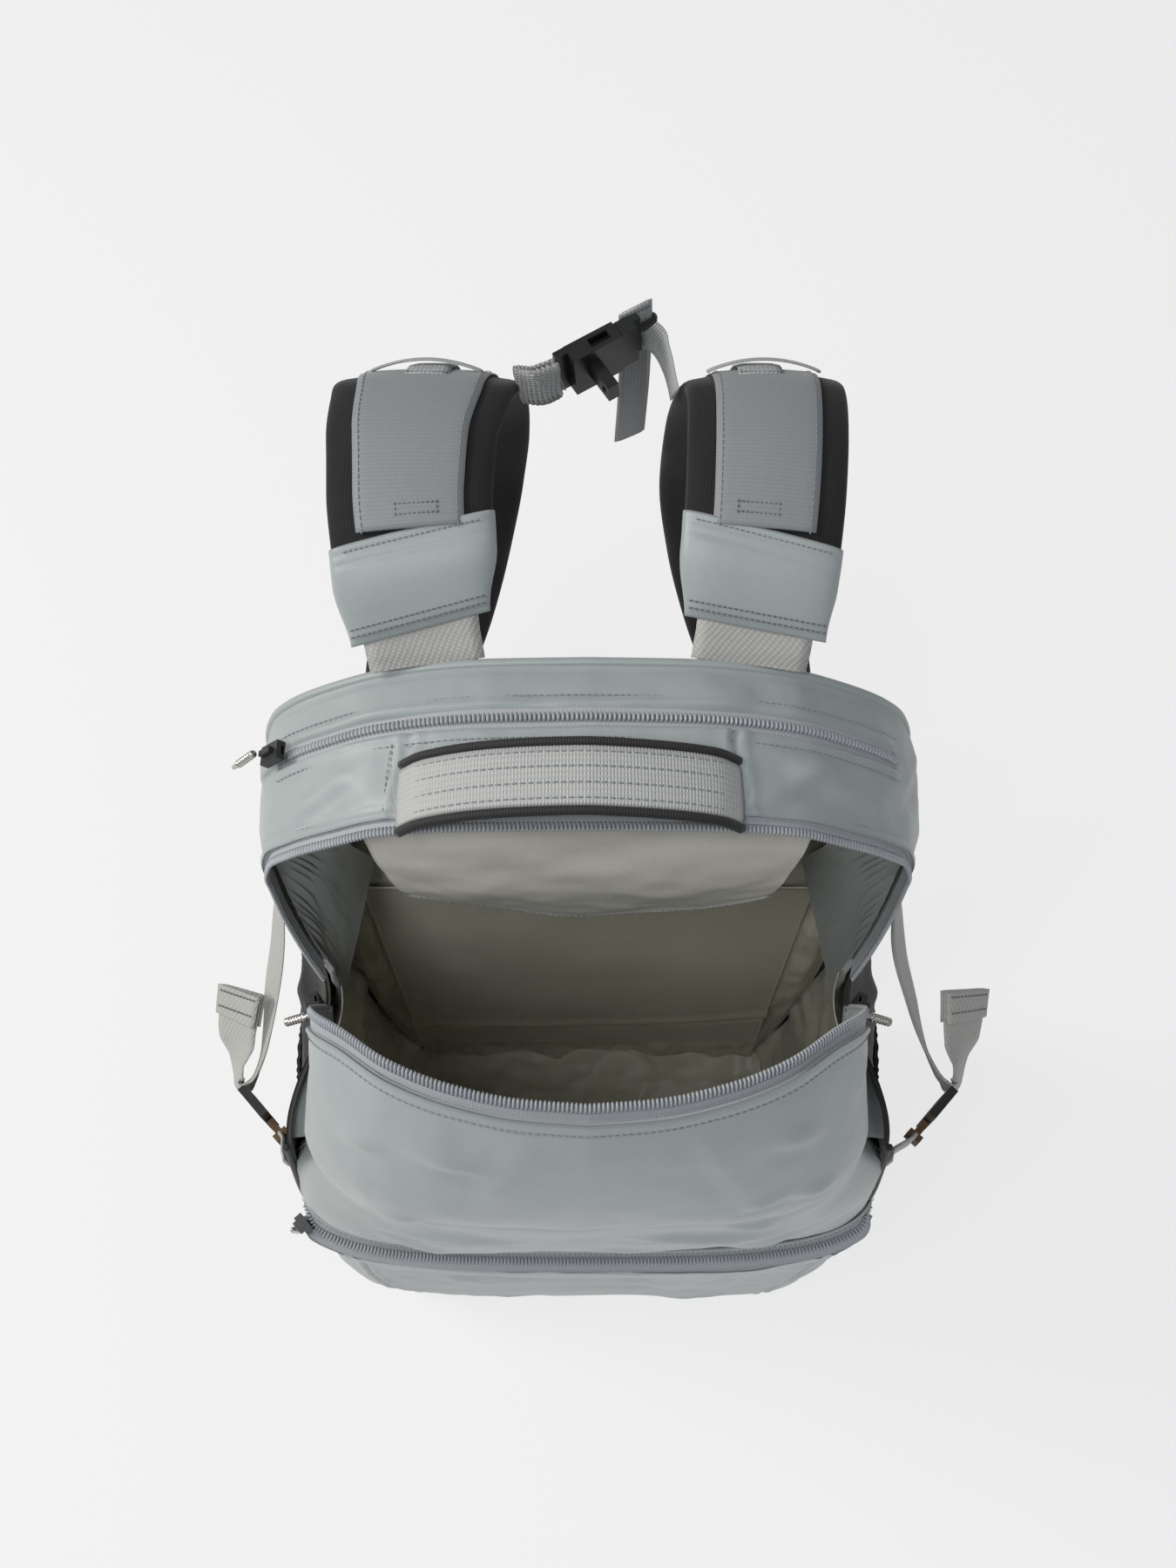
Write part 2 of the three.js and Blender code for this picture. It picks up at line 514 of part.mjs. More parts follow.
// ---- pieces that come in pairs ----
for (const [side, sgn] of [['left', -1], ['right', 1]]) {
  const M = (p) => [p[0] * sgn, p[1], p[2]];

  // Shoulder strap.
  const strapKeys = [0, 0.05, 0.1, 0.17, 0.24, 0.31, 0.38, 0.46, 0.55, 0.64, 0.73, 0.82, 0.91, 1];
  const xs = side === 'right'
    ? [65.5, 66, 67.5, 69.5, 71, 72, 72, 71, 69, 68, 73, 83, 97, 108]
    : [65.5, 67, 68, 69.5, 69.5, 67.5, 66, 65, 65, 67, 73, 83, 97, 108];
  const climb = [[107, 490], [120, 499], [134, 507.5], [155, 515], [178, 518.5], [200, 515], [217, 501], [230, 478],
    [239, 446], [244, 402], [242, 352], [235, 300], [223, 250], [210, 208]];
  const strapAxis = curve(strapKeys, xs.map((x, i) => [x, ...climb[i]]));
  const wide = table([0, 0.2, 0.38, 0.5, 0.7, 0.9, 1],
    side === 'right' ? [60, 63, 65, 68, 66, 60, 50] : [62, STRAP_W, 76, 78, 68, 60, 50]);
  const hint = (i, p, t) => M(unit([1, 0, 0]));
  const at = (k) => M(strapAxis(k));
  const strapPts = range(0.125, 1, 28);
  strip(`strap_foam_${side}`, strapPts.map(at), (f) => padSection(wide(mix(0.125, 1, f)), STRAP_T), [1, 0, 0]);
  const frameAt = (k) => {
    const a = at(Math.max(0, k - 0.01));
    const b = at(Math.min(1, k + 0.01));
    const t = unit(sub(b, a));
    const w = unit(add([1, 0, 0], t, -t[0]));
    return { p: at(k), t, w, n: cross(t, w) };
  };
  const above = (k, h, dx = 0) => {
    const f = frameAt(k);
    const n = f.n[1] * 0.6 + f.n[2] * 0.8 > 0 ? f.n : mul(f.n, -1);
    return add(add(f.p, n, h), f.w, dx);
  };
  strip(`strap_facing_${side}`, range(0.125, 0.94, 26).map((k) => above(k, STRAP_T / 2 + 1.5)), (f) => flat(wide(mix(0.125, 0.94, f)) - 24, 1.2), [1, 0, 0]);
  strip(`strap_cap_${side}`, range(0, 0.11, 4).map(at), (f) => padSection(mix(56, 65, smooth(f * 1.6)), mix(9, STRAP_T + 3.4, smooth(f * 1.5))), [1, 0, 0]);
  const anchorPts = [[63.5, 97.6, 482.2], [64, 99.4, 484], [64.6, 101.6, 485.9], [65, 103.8, 487.6]].map(M);
  strip(`strap_anchor_webbing_${side}`, anchorPts, flat(ANCHOR_W, WEB), [1, 0, 0]);
  strip(`daisy_webbing_${side}`, range(0.33, 0.69, 14).map((k, i) => above(k, STRAP_T / 2 + 3.2 + 4 * Math.sin(Math.PI * i / 14), sgn * -2)),
    flat(18, 1.4), [1, 0, 0]);

  // Adjuster at the foot of the strap.
  const foot = frameAt(1);
  const footN = foot.n[1] > 0 ? foot.n : mul(foot.n, -1);
  const lockCentre = add(foot.p, foot.t, 13.5);
  const lock = box(22, 34, 4).subtract(box(5, 27, 10, -5, 0, 0)).subtract(box(5, 27, 10, 4.5, 0, 0))
    .add(box(3, 30, 5, 10.2, 0, 2.2));
  keepSolid(`strap_ladder_lock_${side}`, setOn(lock, lockCentre, foot.t, foot.w));
  const lowEnd = add(lockCentre, foot.t, 14.2);
  const lowPath = curve([0, 0.35, 0.7, 1], [lowEnd, M([122, 168, 120]), M([127, 132, 62]), M([126, 99.4, 24])]);
  strip(`lower_webbing_${side}`, range(0, 1, 10).map(lowPath), flat(25, WEB), [1, 0, 0]);

  // Side compression strap: webbing from the rear seam forward to a buckle at the front corner.
  const stand = side === 'right' ? 9 : 0;   // the right buckle stands off further
  const sidePath = curve([0, 0.12, 0.24, 0.36, 0.46, 0.54, 0.58, 0.61, 0.66, 0.78, 0.9, 1], [
    [148.5, 84, 322], [149, 62, 321.5], [147.5, 34, 321], [148 + stand / 3, 8, 320], [150 + stand * 0.7, -12, 315],
    [155.5 + stand, -26.5, 308.5], [159.6 + stand, -29.6, 307.5], [162.2 + stand, -27, 308.5],
    [163 + stand * 1.1, -18, 312], [163 + stand * 1.2, -8, 318], [161.5 + stand * 1.4, 2, 324.5], [160 + stand * 1.6, 10, 329]].map(M));
  // The face of the webbing leans up and out, and the free end lies almost flat.
  const leanKeys = table([0, 0.1, 0.3, 0.5, 0.6, 0.75, 1], [0.05, 0.25, 0.5, 0.3, 0.3, 0.8, 1.05]);
  strip(`compression_webbing_${side}`, [0, 0.06, 0.12, 0.18, 0.24, 0.3, 0.36, 0.42, 0.48, 0.54, 0.58, 0.61, 0.66, 0.72, 0.78, 0.84, 0.9, 0.95, 1]
    .map(sidePath), flat(SIDE_WEB_W, WEB), (i) => {
      const k = [0, 0.06, 0.12, 0.18, 0.24, 0.3, 0.36, 0.42, 0.48, 0.54, 0.58, 0.61, 0.66, 0.72, 0.78, 0.84, 0.9, 0.95, 1][i];
      return M([-Math.sin(leanKeys(k)), 0, Math.cos(leanKeys(k))]);
    });
  const bDir = M([-0.68, -0.73, -0.02]);
  const bOrigin = M([152.8 + stand, -38.6 - stand * 0.08, 303.5]);
  const ladder = box(17, 31, 4).subtract(box(3.6, 25.6, 9, -3.6, 0, 0)).subtract(box(3.6, 25.6, 9, 3.4, 0, 0));
  keepSolid(`compression_buckle_${side}`, setOn(ladder, bOrigin, bDir, [0, 0, 1]));
  const hook = box(9, 9, 3.2).add(box(3.5, 9, 7, 4.0, 0, 0));
  keepSolid(`compression_hook_${side}`, setOn(hook, add(bOrigin, unit(bDir), 13.6), bDir, [0, 0, 1]));
  const tabA = add(bOrigin, unit(bDir), 20.2);
  strip(`compression_anchor_tab_${side}`, [tabA, wall(sgn * 0.462, 302.5, 2.6), wall(sgn * 0.44, 302.2, 2.6)], flat(20, 1.8), [0, 0, 1]);

  // Bottle pocket: stretch fabric that stands off the side, open at the top.
  const pockY0 = -46;
  const pockY1 = 84;
  sheet(`bottle_pocket_${side}`, (u, v) => {
    const y = mix(pockY0, pockY1, u);
    const z = mix(9, mix(178, 196, u), v);
    const base = table([0, 0.12, 0.5, 0.88, 1], [0, 0.6, 1, 0.6, 0])(u);
    const c = 0.5 + 0.5 * (y - frontSide(z)) / (BAG_BACK_Y - frontSide(z));
    const q = wall(c, z);
    return [sgn * (q[0] + 3.3 + base * mix(2, 13, smooth(v * 1.4))), q[1], z];
  }, [0, 0.06, 0.12, 0.22, 0.35, 0.5, 0.65, 0.78, 0.88, 0.94, 1], [0, 0.04, 0.12, 0.28, 0.5, 0.75, 1], 1.6, [0, 20, 100]);
}

// ---- sliders and pulls ----
function slider(name, origin, along, out, size = [12, 9.5, 5]) {
  const body = box(size[0], size[1], size[2]).subtract(box(size[0] + 2, size[1] - 4.2, 1.2, 0, 0, -size[2] / 2 + 1.2))
    .add(box(7, 2.4, 2.4, -0.5, 0, size[2] / 2 + 1.0));
  return keepSolid(name, setOn(body, origin, along, cross(out, along)));
}
function pull(name, from, to, r = 1.9) {
  const len = Math.hypot(...sub(to, from));
  const mid = mix3(from, to, 0.5);
  const d = unit(sub(to, from));
  const side = Math.abs(d[2]) < 0.9 ? [0, 0, 1] : [0, 1, 0];
  const s = solidOf(new THREE.CylinderGeometry(r, r, len, 16).rotateZ(-Math.PI / 2));
  return keepSolid(name, setOn(s, mid, d, side));
}
for (const [side, sgn] of [['left', -1], ['right', 1]]) {
  const M = (p) => [p[0] * sgn, p[1], p[2]];
  const tan = unit(M([-0.3, -0.34, -0.86]));
  const out = M([0.94, -0.3, 0]);
  const o = M([120.6, -3.0, 346.5]);
  slider(`main_slider_${side}`, o, tan, out, [11, 8, 4.4]);
  pull(`main_pull_${side}`, M([124.6, -5.4, 341.5]), M([137.2, -7.2, 335.5]), 1.9);
}
{
  const p = -0.452;
  const q = shell(p, laptopY + TAPE_W / 2);
  const q2 = shell(p - 0.01, laptopY + TAPE_W / 2);
  const along = unit(sub(q, q2));
  const out = unit([q[0] * 0.9, 0, q[2] - 400]);
  slider('laptop_slider', add(q, out, 5.4), along, out, [11, 8, 4]);
  pull('laptop_pull', add(add(q, out, 11.4), along, -3), add(add(q, out, 9.6), along, -21), 1.6);
}
{
  const c = -0.385;
  const z = pocketZipZ(wall(c, 205)[0]);
  const q = wall(c, z, 2.6);
  const q2 = wall(c - 0.01, pocketZipZ(wall(c - 0.01, 205)[0]), 2.6);
  const along = unit(sub(q, q2));
  const out = unit(cross(along, [0, 0, 1]));
  const outward = out[1] > 0 ? mul(out, -1) : out;
  slider('pocket_slider', add(q, outward, 5.6), along, outward, [11, 8, 4]);
  pull('pocket_pull', add(add(q, outward, 11.9), along, -2), add(add(add(q, outward, 10.6), along, -4), [0, 0, -1], 20), 1.6);
}

// ---- sternum strap ----
{
  const Z = 512;
  const d = unit([35, 21, 3]);
  const w = [0, 0, 1];
  const female = [2.5, 222, Z + 1];
  const shellF = box(23, 21, 9).subtract(box(30, 16.6, 5.4, 5.5, 0, 0)).subtract(box(9, 40, 4.4, 3, 0, 0))
    .add(box(6, 21, 3.4, -13.5, 0, -2.6));
  const whistle = box(5, 8, 16, -2, 0, 11).subtract(box(8, 3.4, 2.4, -2, 0, 15.5));
  keepSolid('sternum_buckle_female', setOn(shellF.add(whistle), female, d, w));
  const male = box(7, 20, 7.4, 15.4, 0, 0)
    .add(box(20, 2.6, 4.2, 2.2, -5.6, 0)).add(box(20, 2.6, 4.2, 2.2, 5.6, 0)).add(box(14, 3.2, 4.2, 5.6, 0, 0))
    .add(box(4, 20, 3.4, 20.6, 0, -1.6));
  keepSolid('sternum_buckle_male', setOn(male, female, d, w));
  // Elastic loop on the left, its turns held flat.
  const left = curve([0, 0.25, 0.5, 0.75, 1], [[-26.3, 213, 508], [-23.5, 212, 508.5], [-20.5, 211.3, 509.3], [-17, 211.8, 510.5], [-14.2, 212.2, 511.4]]);
  strip('sternum_elastic', range(0, 1, 10).map(left), flat(19, 3), [0, 0, 1]);
  const m = add(female, d, 24.2);
  const right = curve([0, 0.3, 0.6, 1], [add(m, d, 1.6), [29.5, 231, 511], [33, 224, 507], [34.6, 215, 502]]);
  strip('sternum_webbing', range(0, 1, 10).map(right), flat(19, WEB), [0, 0, 1]);
  const tail = curve([0, 0.25, 0.5, 1], [[19.5, 243, 520], [20.3, 243.5, 500], [20.2, 242.5, 478], [19, 239, 442]]);
  strip('sternum_tail', range(0, 1, 10).map(tail), flat(16, WEB), [35, 21, 0]);
}

export default root;
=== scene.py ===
import math

import bpy
import numpy as np
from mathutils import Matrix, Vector, noise


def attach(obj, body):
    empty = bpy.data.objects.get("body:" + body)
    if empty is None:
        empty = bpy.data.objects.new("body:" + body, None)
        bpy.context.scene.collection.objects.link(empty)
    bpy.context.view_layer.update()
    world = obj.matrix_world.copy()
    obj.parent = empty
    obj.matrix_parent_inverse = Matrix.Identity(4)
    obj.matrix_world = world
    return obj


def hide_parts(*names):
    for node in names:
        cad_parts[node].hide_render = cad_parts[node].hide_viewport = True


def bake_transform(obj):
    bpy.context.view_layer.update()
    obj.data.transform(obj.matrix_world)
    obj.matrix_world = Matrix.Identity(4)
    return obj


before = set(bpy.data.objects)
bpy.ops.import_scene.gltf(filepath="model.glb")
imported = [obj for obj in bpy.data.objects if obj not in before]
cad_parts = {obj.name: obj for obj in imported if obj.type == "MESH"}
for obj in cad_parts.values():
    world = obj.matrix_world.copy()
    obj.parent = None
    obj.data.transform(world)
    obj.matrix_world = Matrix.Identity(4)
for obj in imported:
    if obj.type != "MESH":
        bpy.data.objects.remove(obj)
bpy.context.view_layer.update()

# ---------------------------------------------------------------- sizes, in millimetres
BAG_BACK_Y = 96.0
HINGE_Z = 350.0         # fold line of the open flap
FLAP_LOW = -13.0
HANDLE_X0, HANDLE_X1 = -71.0, 57.0
HANDLE_Y, HANDLE_W = 38.0, 24.0
STRAP_T = 9.6
ANCHOR_W = 46.0
SIDE_WEB_W = 25.0


# ---------------------------------------------------------------- curves through tables
def table(xs, ys):
    """Monotone cubic through a table."""
    xs = np.asarray(xs, float)
    ys = np.asarray(ys, float)
    step = np.diff(ys) / np.diff(xs)
    slope = np.zeros(len(xs))
    for i in range(1, len(xs) - 1):
        a, b = step[i - 1], step[i]
        slope[i] = 0.0 if a * b <= 0 else 2 * a * b / (a + b)
    slope[0], slope[-1] = step[0], step[-1]

    def at(x):
        x = np.clip(np.asarray(x, float), xs[0], xs[-1])
        i = np.clip(np.searchsorted(xs, x, side="right") - 1, 0, len(xs) - 2)
        h = xs[i + 1] - xs[i]
        t = (x - xs[i]) / h
        t2, t3 = t * t, t * t * t
        return ((2 * t3 - 3 * t2 + 1) * ys[i] + (t3 - 2 * t2 + t) * h * slope[i]
                + (-2 * t3 + 3 * t2) * ys[i + 1] + (t3 - t2) * h * slope[i + 1])
    return at


def curve(keys, rows):
    axes = [table(keys, [row[c] for row in rows]) for c in range(3)]
    return lambda k: np.stack([axis(k) for axis in axes], axis=-1)


def smooth(t):
    t = np.clip(t, 0, 1)
    return t * t * (3 - 2 * t)


def mix(a, b, t):
    return a + (b - a) * t


def unit(v):
    v = np.asarray(v, float)
    return v / np.maximum(np.linalg.norm(v, axis=-1, keepdims=True), 1e-9)


def mirror(points, side):
    points = np.array(points, float)
    points[..., 0] *= side
    return points


# ---------------------------------------------------------------- colour and materials
def srgb(code, dim=1.0):
    """An sRGB hex value turned to linear."""
    out = []
    for i in (0, 2, 4):
        c = int(code[i:i + 2], 16) / 255
        out.append((c / 12.92 if c <= 0.04045 else ((c + 0.055) / 1.055) ** 2.4) * dim)
    return (*out, 1.0)


def node(tree, kind, settings=None, links=None):
    """Adds one node, sets its properties and sockets, and links its inputs."""
    made = tree.nodes.new("ShaderNode" + kind)
    for key, value in (settings or {}).items():
        if isinstance(key, str) and hasattr(made, key):
            setattr(made, key, value)
        else:
            made.inputs[key].default_value = value
    for key, source in (links or {}).items():
        tree.links.new(source, made.inputs[key])
    return made


def blank(name, **surface):
    mat = bpy.data.materials.new(name)
    mat.use_nodes = True
    tree = mat.node_tree
    shader = tree.nodes["Principled BSDF"]
    for key, value in surface.items():
        shader.inputs[key.replace("_", " ")].default_value = value
    return mat, tree, shader


def mixed(tree, factor, a, b):
    """Colour between a and b; each is a hex colour or an output."""
    made = node(tree, "Mix", {"data_type": "RGBA"})
    for socket, value in (("A", a), ("B", b)):
        target = [s for s in made.inputs if s.name == socket and s.type == "RGBA"][0]
        if isinstance(value, str):
            target.default_value = srgb(value)
        else:
            tree.links.new(value, target)
    tree.links.new(factor, made.inputs["Factor"])
    return [s for s in made.outputs if s.type == "RGBA"][0]


def ripple(tree, uv, across, pitch, sharp=1.0):
    """Sine lines of one pitch in mm across u or v; gives 0 to 1."""
    part = node(tree, "SeparateXYZ", links={0: uv})
    scaled = node(tree, "Math", {"operation": "MULTIPLY", 1: 2 * math.pi / pitch}, {0: part.outputs[across]})
    wave = node(tree, "Math", {"operation": "SINE"}, {0: scaled.outputs[0]})
    up = node(tree, "Math", {"operation": "MULTIPLY_ADD", 1: 0.5, 2: 0.5}, {0: wave.outputs[0]})
    return node(tree, "Math", {"operation": "POWER", 1: sharp}, {0: up.outputs[0]}).outputs[0]


def weave(name, light, dark, warp, weft, roughness, bump, slant=0.0, sheen=0.0, cloud=0.25, ribs=1.0, **more):
    """Woven or knitted cloth: warp and weft are thread pitches in mm, read from the piece's own mm map."""
    mat, tree, shader = blank(name, Roughness=roughness, Sheen_Weight=sheen, Sheen_Roughness=0.45, **more)
    uv = node(tree, "UVMap", {"uv_map": "mm"}).outputs[0]
    if slant:
        turn = node(tree, "Mapping", {"Rotation": (0, 0, slant)}, {0: uv})
        uv = turn.outputs[0]
    across = ripple(tree, uv, 0, warp, ribs)
    along = ripple(tree, uv, 1, weft, ribs)
    threads = node(tree, "Math", {"operation": "MULTIPLY"}, {0: across, 1: along}).outputs[0]
    both = node(tree, "Math", {"operation": "ADD"}, {0: across, 1: along}).outputs[0]
    relief = node(tree, "Math", {"operation": "MULTIPLY_ADD", 1: 0.35}, {0: both, 2: threads}).outputs[0]
    place = node(tree, "TexCoord").outputs["Object"]
    broad = node(tree, "TexNoise", {"Scale": 14.0, "Detail": 5.0, "Roughness": 0.6}, {"Vector": place})
    fine = node(tree, "TexNoise", {"Scale": 420.0, "Detail": 2.0}, {"Vector": place})
    tone = node(tree, "Math", {"operation": "MULTIPLY_ADD", 1: cloud, 2: 0.5 - cloud / 2},
            {0: broad.outputs[0]})
    grain = node(tree, "Math", {"operation": "MULTIPLY_ADD", 1: 0.2},
            {0: fine.outputs[0], 2: tone.outputs[0]})
    share = node(tree, "Math", {"operation": "MULTIPLY_ADD", 1: 0.3, "use_clamp": True},
                 {0: relief, 2: grain.outputs[0]})
    tree.links.new(mixed(tree, share.outputs[0], dark, light), shader.inputs["Base Color"])
    rough = node(tree, "MapRange", {"From Min": 0.3, "From Max": 0.7, "To Min": roughness - 0.05,
                                    "To Max": roughness + 0.06}, {0: broad.outputs[0]})
    tree.links.new(rough.outputs[0], shader.inputs["Roughness"])
    raised = node(tree, "Bump", {"Strength": 1.0, "Distance": bump / 1000}, {"Height": relief})
    tree.links.new(raised.outputs[0], shader.inputs["Normal"])
    return mat


def moulded(name, light, dark, roughness, grain=300.0, bump=0.04, metallic=0.0, **more):
    """Moulded plastic or cast metal: a fine even grain and a slight change of tone."""
    mat, tree, shader = blank(name, Roughness=roughness, Metallic=metallic, **more)
    place = node(tree, "TexCoord").outputs["Object"]
    speck = node(tree, "TexNoise", {"Scale": grain, "Detail": 3.0}, {"Vector": place})
    broad = node(tree, "TexNoise", {"Scale": 60.0, "Detail": 3.0}, {"Vector": place})
    tree.links.new(mixed(tree, broad.outputs[0], dark, light), shader.inputs["Base Color"])
    rough = node(tree, "MapRange", {"To Min": roughness - 0.08, "To Max": roughness + 0.08},
            {0: speck.outputs[0]})
    tree.links.new(rough.outputs[0], shader.inputs["Roughness"])
    raised = node(tree, "Bump", {"Strength": 0.6, "Distance": bump / 1000}, {"Height": speck.outputs[0]})
    tree.links.new(raised.outputs[0], shader.inputs["Normal"])
    return mat


# Polyurethane-coated nylon plain weave: an even cool grey with a soft sheen and a barely visible thread.
COATED = weave("coated_nylon", "9ba3a3", "868d8e", 0.9, 0.9, 0.42, 0.035, sheen=0.12, cloud=0.35)
# Uncoated ripstop lining: warm grey, thin, shiny, with a visible grid of thicker threads.
LINING = weave("ripstop_lining", "d2cfbf", "b0ad9c", 1.0, 1.0, 0.4, 0.03, sheen=0.1, cloud=0.5)
# The same lining doubled over foam, as a lighter copy: painted highlight where it faces the light.
LINING_PAINTED_LIGHT = weave("ripstop_lining_painted_highlight", "cbc8be", "a9a69b", 1.0, 1.0, 0.45, 0.03, sheen=0.1, cloud=0.4)
# Grey gusset cloth seen from inside, between the lining and the zip.
GUSSET = weave("gusset_taffeta", "8f9390", "6f7370", 2.4, 1.2, 0.4, 0.05, sheen=0.15, cloud=0.5)
# Black packcloth on the sides: matt, slightly olive.
PACKCLOTH = weave("black_packcloth", "2c2c29", "191a18", 1.1, 1.1, 0.75, 0.07, sheen=0.1)
# Stretch knit of the bottle pockets: soft, close, matt black.
STRETCH = weave("stretch_knit", "27282a", "131415", 1.4, 1.0, 0.82, 0.09, sheen=0.25)
# Knitted foam cover: deep black with a soft bloom at grazing angles.
KNIT = weave("foam_knit", "121214", "060607", 1.6, 1.2, 0.85, 0.1, sheen=0.1)
# Spacer mesh over the back padding: black, open and matt.
SPACER = weave("spacer_mesh", "2a2b2d", "0c0d0e", 2.6, 2.2, 0.85, 0.35, slant=0.785, sheen=0.2, ribs=1.6)
# Fine cross-ribbed facing cloth on the straps.
RIBBED = weave("ribbed_facing", "868a8d", "6c7074", 0.8, 1.6, 0.6, 0.05, sheen=0.15, cloud=0.2, ribs=0.8)
# Nylon twill webbing: slanting ribs, dry and slightly warm.
TWILL = weave("twill_webbing", "aeaeaa", "7b7c79", 2.1, 1.5, 0.62, 0.12, slant=0.55, sheen=0.12, cloud=0.2)
# Plain webbing with lengthwise ribs.
HANDLE_WEB = weave("ribbed_webbing", "b4b6b4", "8b8d8b", 2.3, 1.25, 0.6, 0.20, sheen=0.12, cloud=0.15)
NARROW_WEB = weave("narrow_webbing", "a5a8a9", "76797b", 1.8, 1.2, 0.6, 0.16, sheen=0.12, cloud=0.2)
# Grosgrain binding: black, cross-ribbed.
BINDING = weave("grosgrain_binding", "202020", "0e0e0e", 5.0, 1.1, 0.7, 0.14, sheen=0.15)
# Zip tape: fine close weave, slightly violet beside the cloth.
ZIP_TAPE = weave("zip_tape", "a7aaae", "868a8f", 1.0, 1.0, 0.62, 0.08, sheen=0.1, cloud=0.15)
# Nylon coil of the zips: smooth and a little glossy.
COIL = moulded("nylon_coil", "a9adb1", "8f9398", 0.36)
# Sewing thread.
THREAD = moulded("sewing_thread", "8d9496", "767d80", 0.6)
THREAD_DARK = moulded("dark_thread", "6b7072", "5a5f61", 0.6)
# Elastic webbing with gathered ribs.
ELASTIC = weave("gathered_elastic", "a4a6a6", "6f7172", 1.2, 2.6, 0.62, 0.3, sheen=0.1, cloud=0.2)
# Acetal buckles: black, satin, with a fine moulded grain.
ACETAL = moulded("black_acetal", "232425", "0f1011", 0.38)
# Zinc sliders with dark paint.
ZINC = moulded("painted_zinc", "4a4b4c", "2c2d2e", 0.42, metallic=0.6)
# Nickel-plated pulls: bright, slightly brushed.
NICKEL = moulded("nickel_plate", "d9d6cf", "a9a69f", 0.28, grain=900.0, metallic=1.0)
# Antique brass hooks: brown, half-gloss.
BRASS = moulded("antique_brass", "7a6450", "4a3a2c", 0.38, metallic=0.9)


# ---------------------------------------------------------------- mesh builders
def finish_mesh(name, verts, faces, uvs, mat, body, nodes=(), flat=False):
    """A mesh from points in mm; uvs is one (u, v) in mm for each point."""
    mesh = bpy.data.meshes.new(name)
    mesh.from_pydata((np.asarray(verts) / 1000).tolist(), [], [list(f) for f in faces])
    layer = mesh.uv_layers.new(name="mm")
    uvs = np.asarray(uvs, float)
    loops = np.zeros(len(mesh.loops), int)
    mesh.loops.foreach_get("vertex_index", loops)
    layer.data.foreach_set("uv", uvs[loops].ravel())
    mesh.validate()
    mesh.materials.append(mat)
    mesh.polygons.foreach_set("use_smooth", [not flat] * len(mesh.polygons))
    mesh.update()
    obj = bpy.data.objects.new(name, mesh)
    bpy.context.scene.collection.objects.link(obj)
    if body:
        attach(obj, body)
    if nodes:
        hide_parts(*nodes)
    return obj


def grid_normals(points, inside):
    du = np.gradient(points, axis=0)
    dv = np.gradient(points, axis=1)
    n = unit(np.cross(du, dv))
    away = points - np.asarray(inside, float)
    if np.sum(n * away) < 0:
        n = -n
    return n


def panel(name, points, inside, thick, mat, body, nodes=()):
    """Cloth of one thickness from a grid of outer points; its inner face looks towards inside."""
    nu, nv = points.shape[:2]
    n = grid_normals(points, inside)
    outer = points.reshape(-1, 3)
    inner = (points - n * thick).reshape(-1, 3)
    u = np.concatenate([[0], np.cumsum(np.linalg.norm(np.diff(points[:, nv // 2], axis=0), axis=1))])
    v = np.concatenate([[0], np.cumsum(np.linalg.norm(np.diff(points[nu // 2], axis=0), axis=1))])
    uv = np.stack(np.meshgrid(u, v, indexing="ij"), -1).reshape(-1, 2)
    count = nu * nv
    i, j = np.meshgrid(np.arange(nu - 1), np.arange(nv - 1), indexing="ij")
    a = (i * nv + j).ravel()
    quad = np.stack([a, a + nv, a + nv + 1, a + 1], 1)
    cross = np.cross(outer[quad[:, 1]] - outer[quad[:, 0]], outer[quad[:, 2]] - outer[quad[:, 0]])
    if np.sum(cross * n.reshape(-1, 3)[quad[:, 0]]) < 0:
        quad = quad[:, ::-1]
    back = quad[:, ::-1] + count
    ring = np.concatenate([np.arange(nv), np.arange(1, nu) * nv + nv - 1,
                           (nu - 1) * nv + np.arange(nv - 2, -1, -1), np.arange(nu - 2, 0, -1) * nv])
    nxt = np.roll(ring, -1)
    rim = np.stack([ring, nxt, nxt + count, ring + count], 1)
    turn = np.cross(outer[rim[0, 1]] - outer[rim[0, 0]], inner[rim[0, 0]] - outer[rim[0, 0]])
    mid = outer[rim[0, 0]] - outer[(nu // 2) * nv + nv // 2]
    if np.dot(turn, mid) > 0:
        rim = rim[:, ::-1]
    faces = np.concatenate([quad, back, rim])
    return finish_mesh(name, np.concatenate([outer, inner]), faces, np.concatenate([uv, uv]), mat, body,
            nodes)


def frames_along(path, width):
    path = np.asarray(path, float)
    t = unit(np.gradient(path, axis=0))
    hint = np.broadcast_to(np.asarray(width, float), path.shape)
    w = unit(hint - t * np.sum(hint * t, axis=1, keepdims=True))
    return t, w, np.cross(t, w)


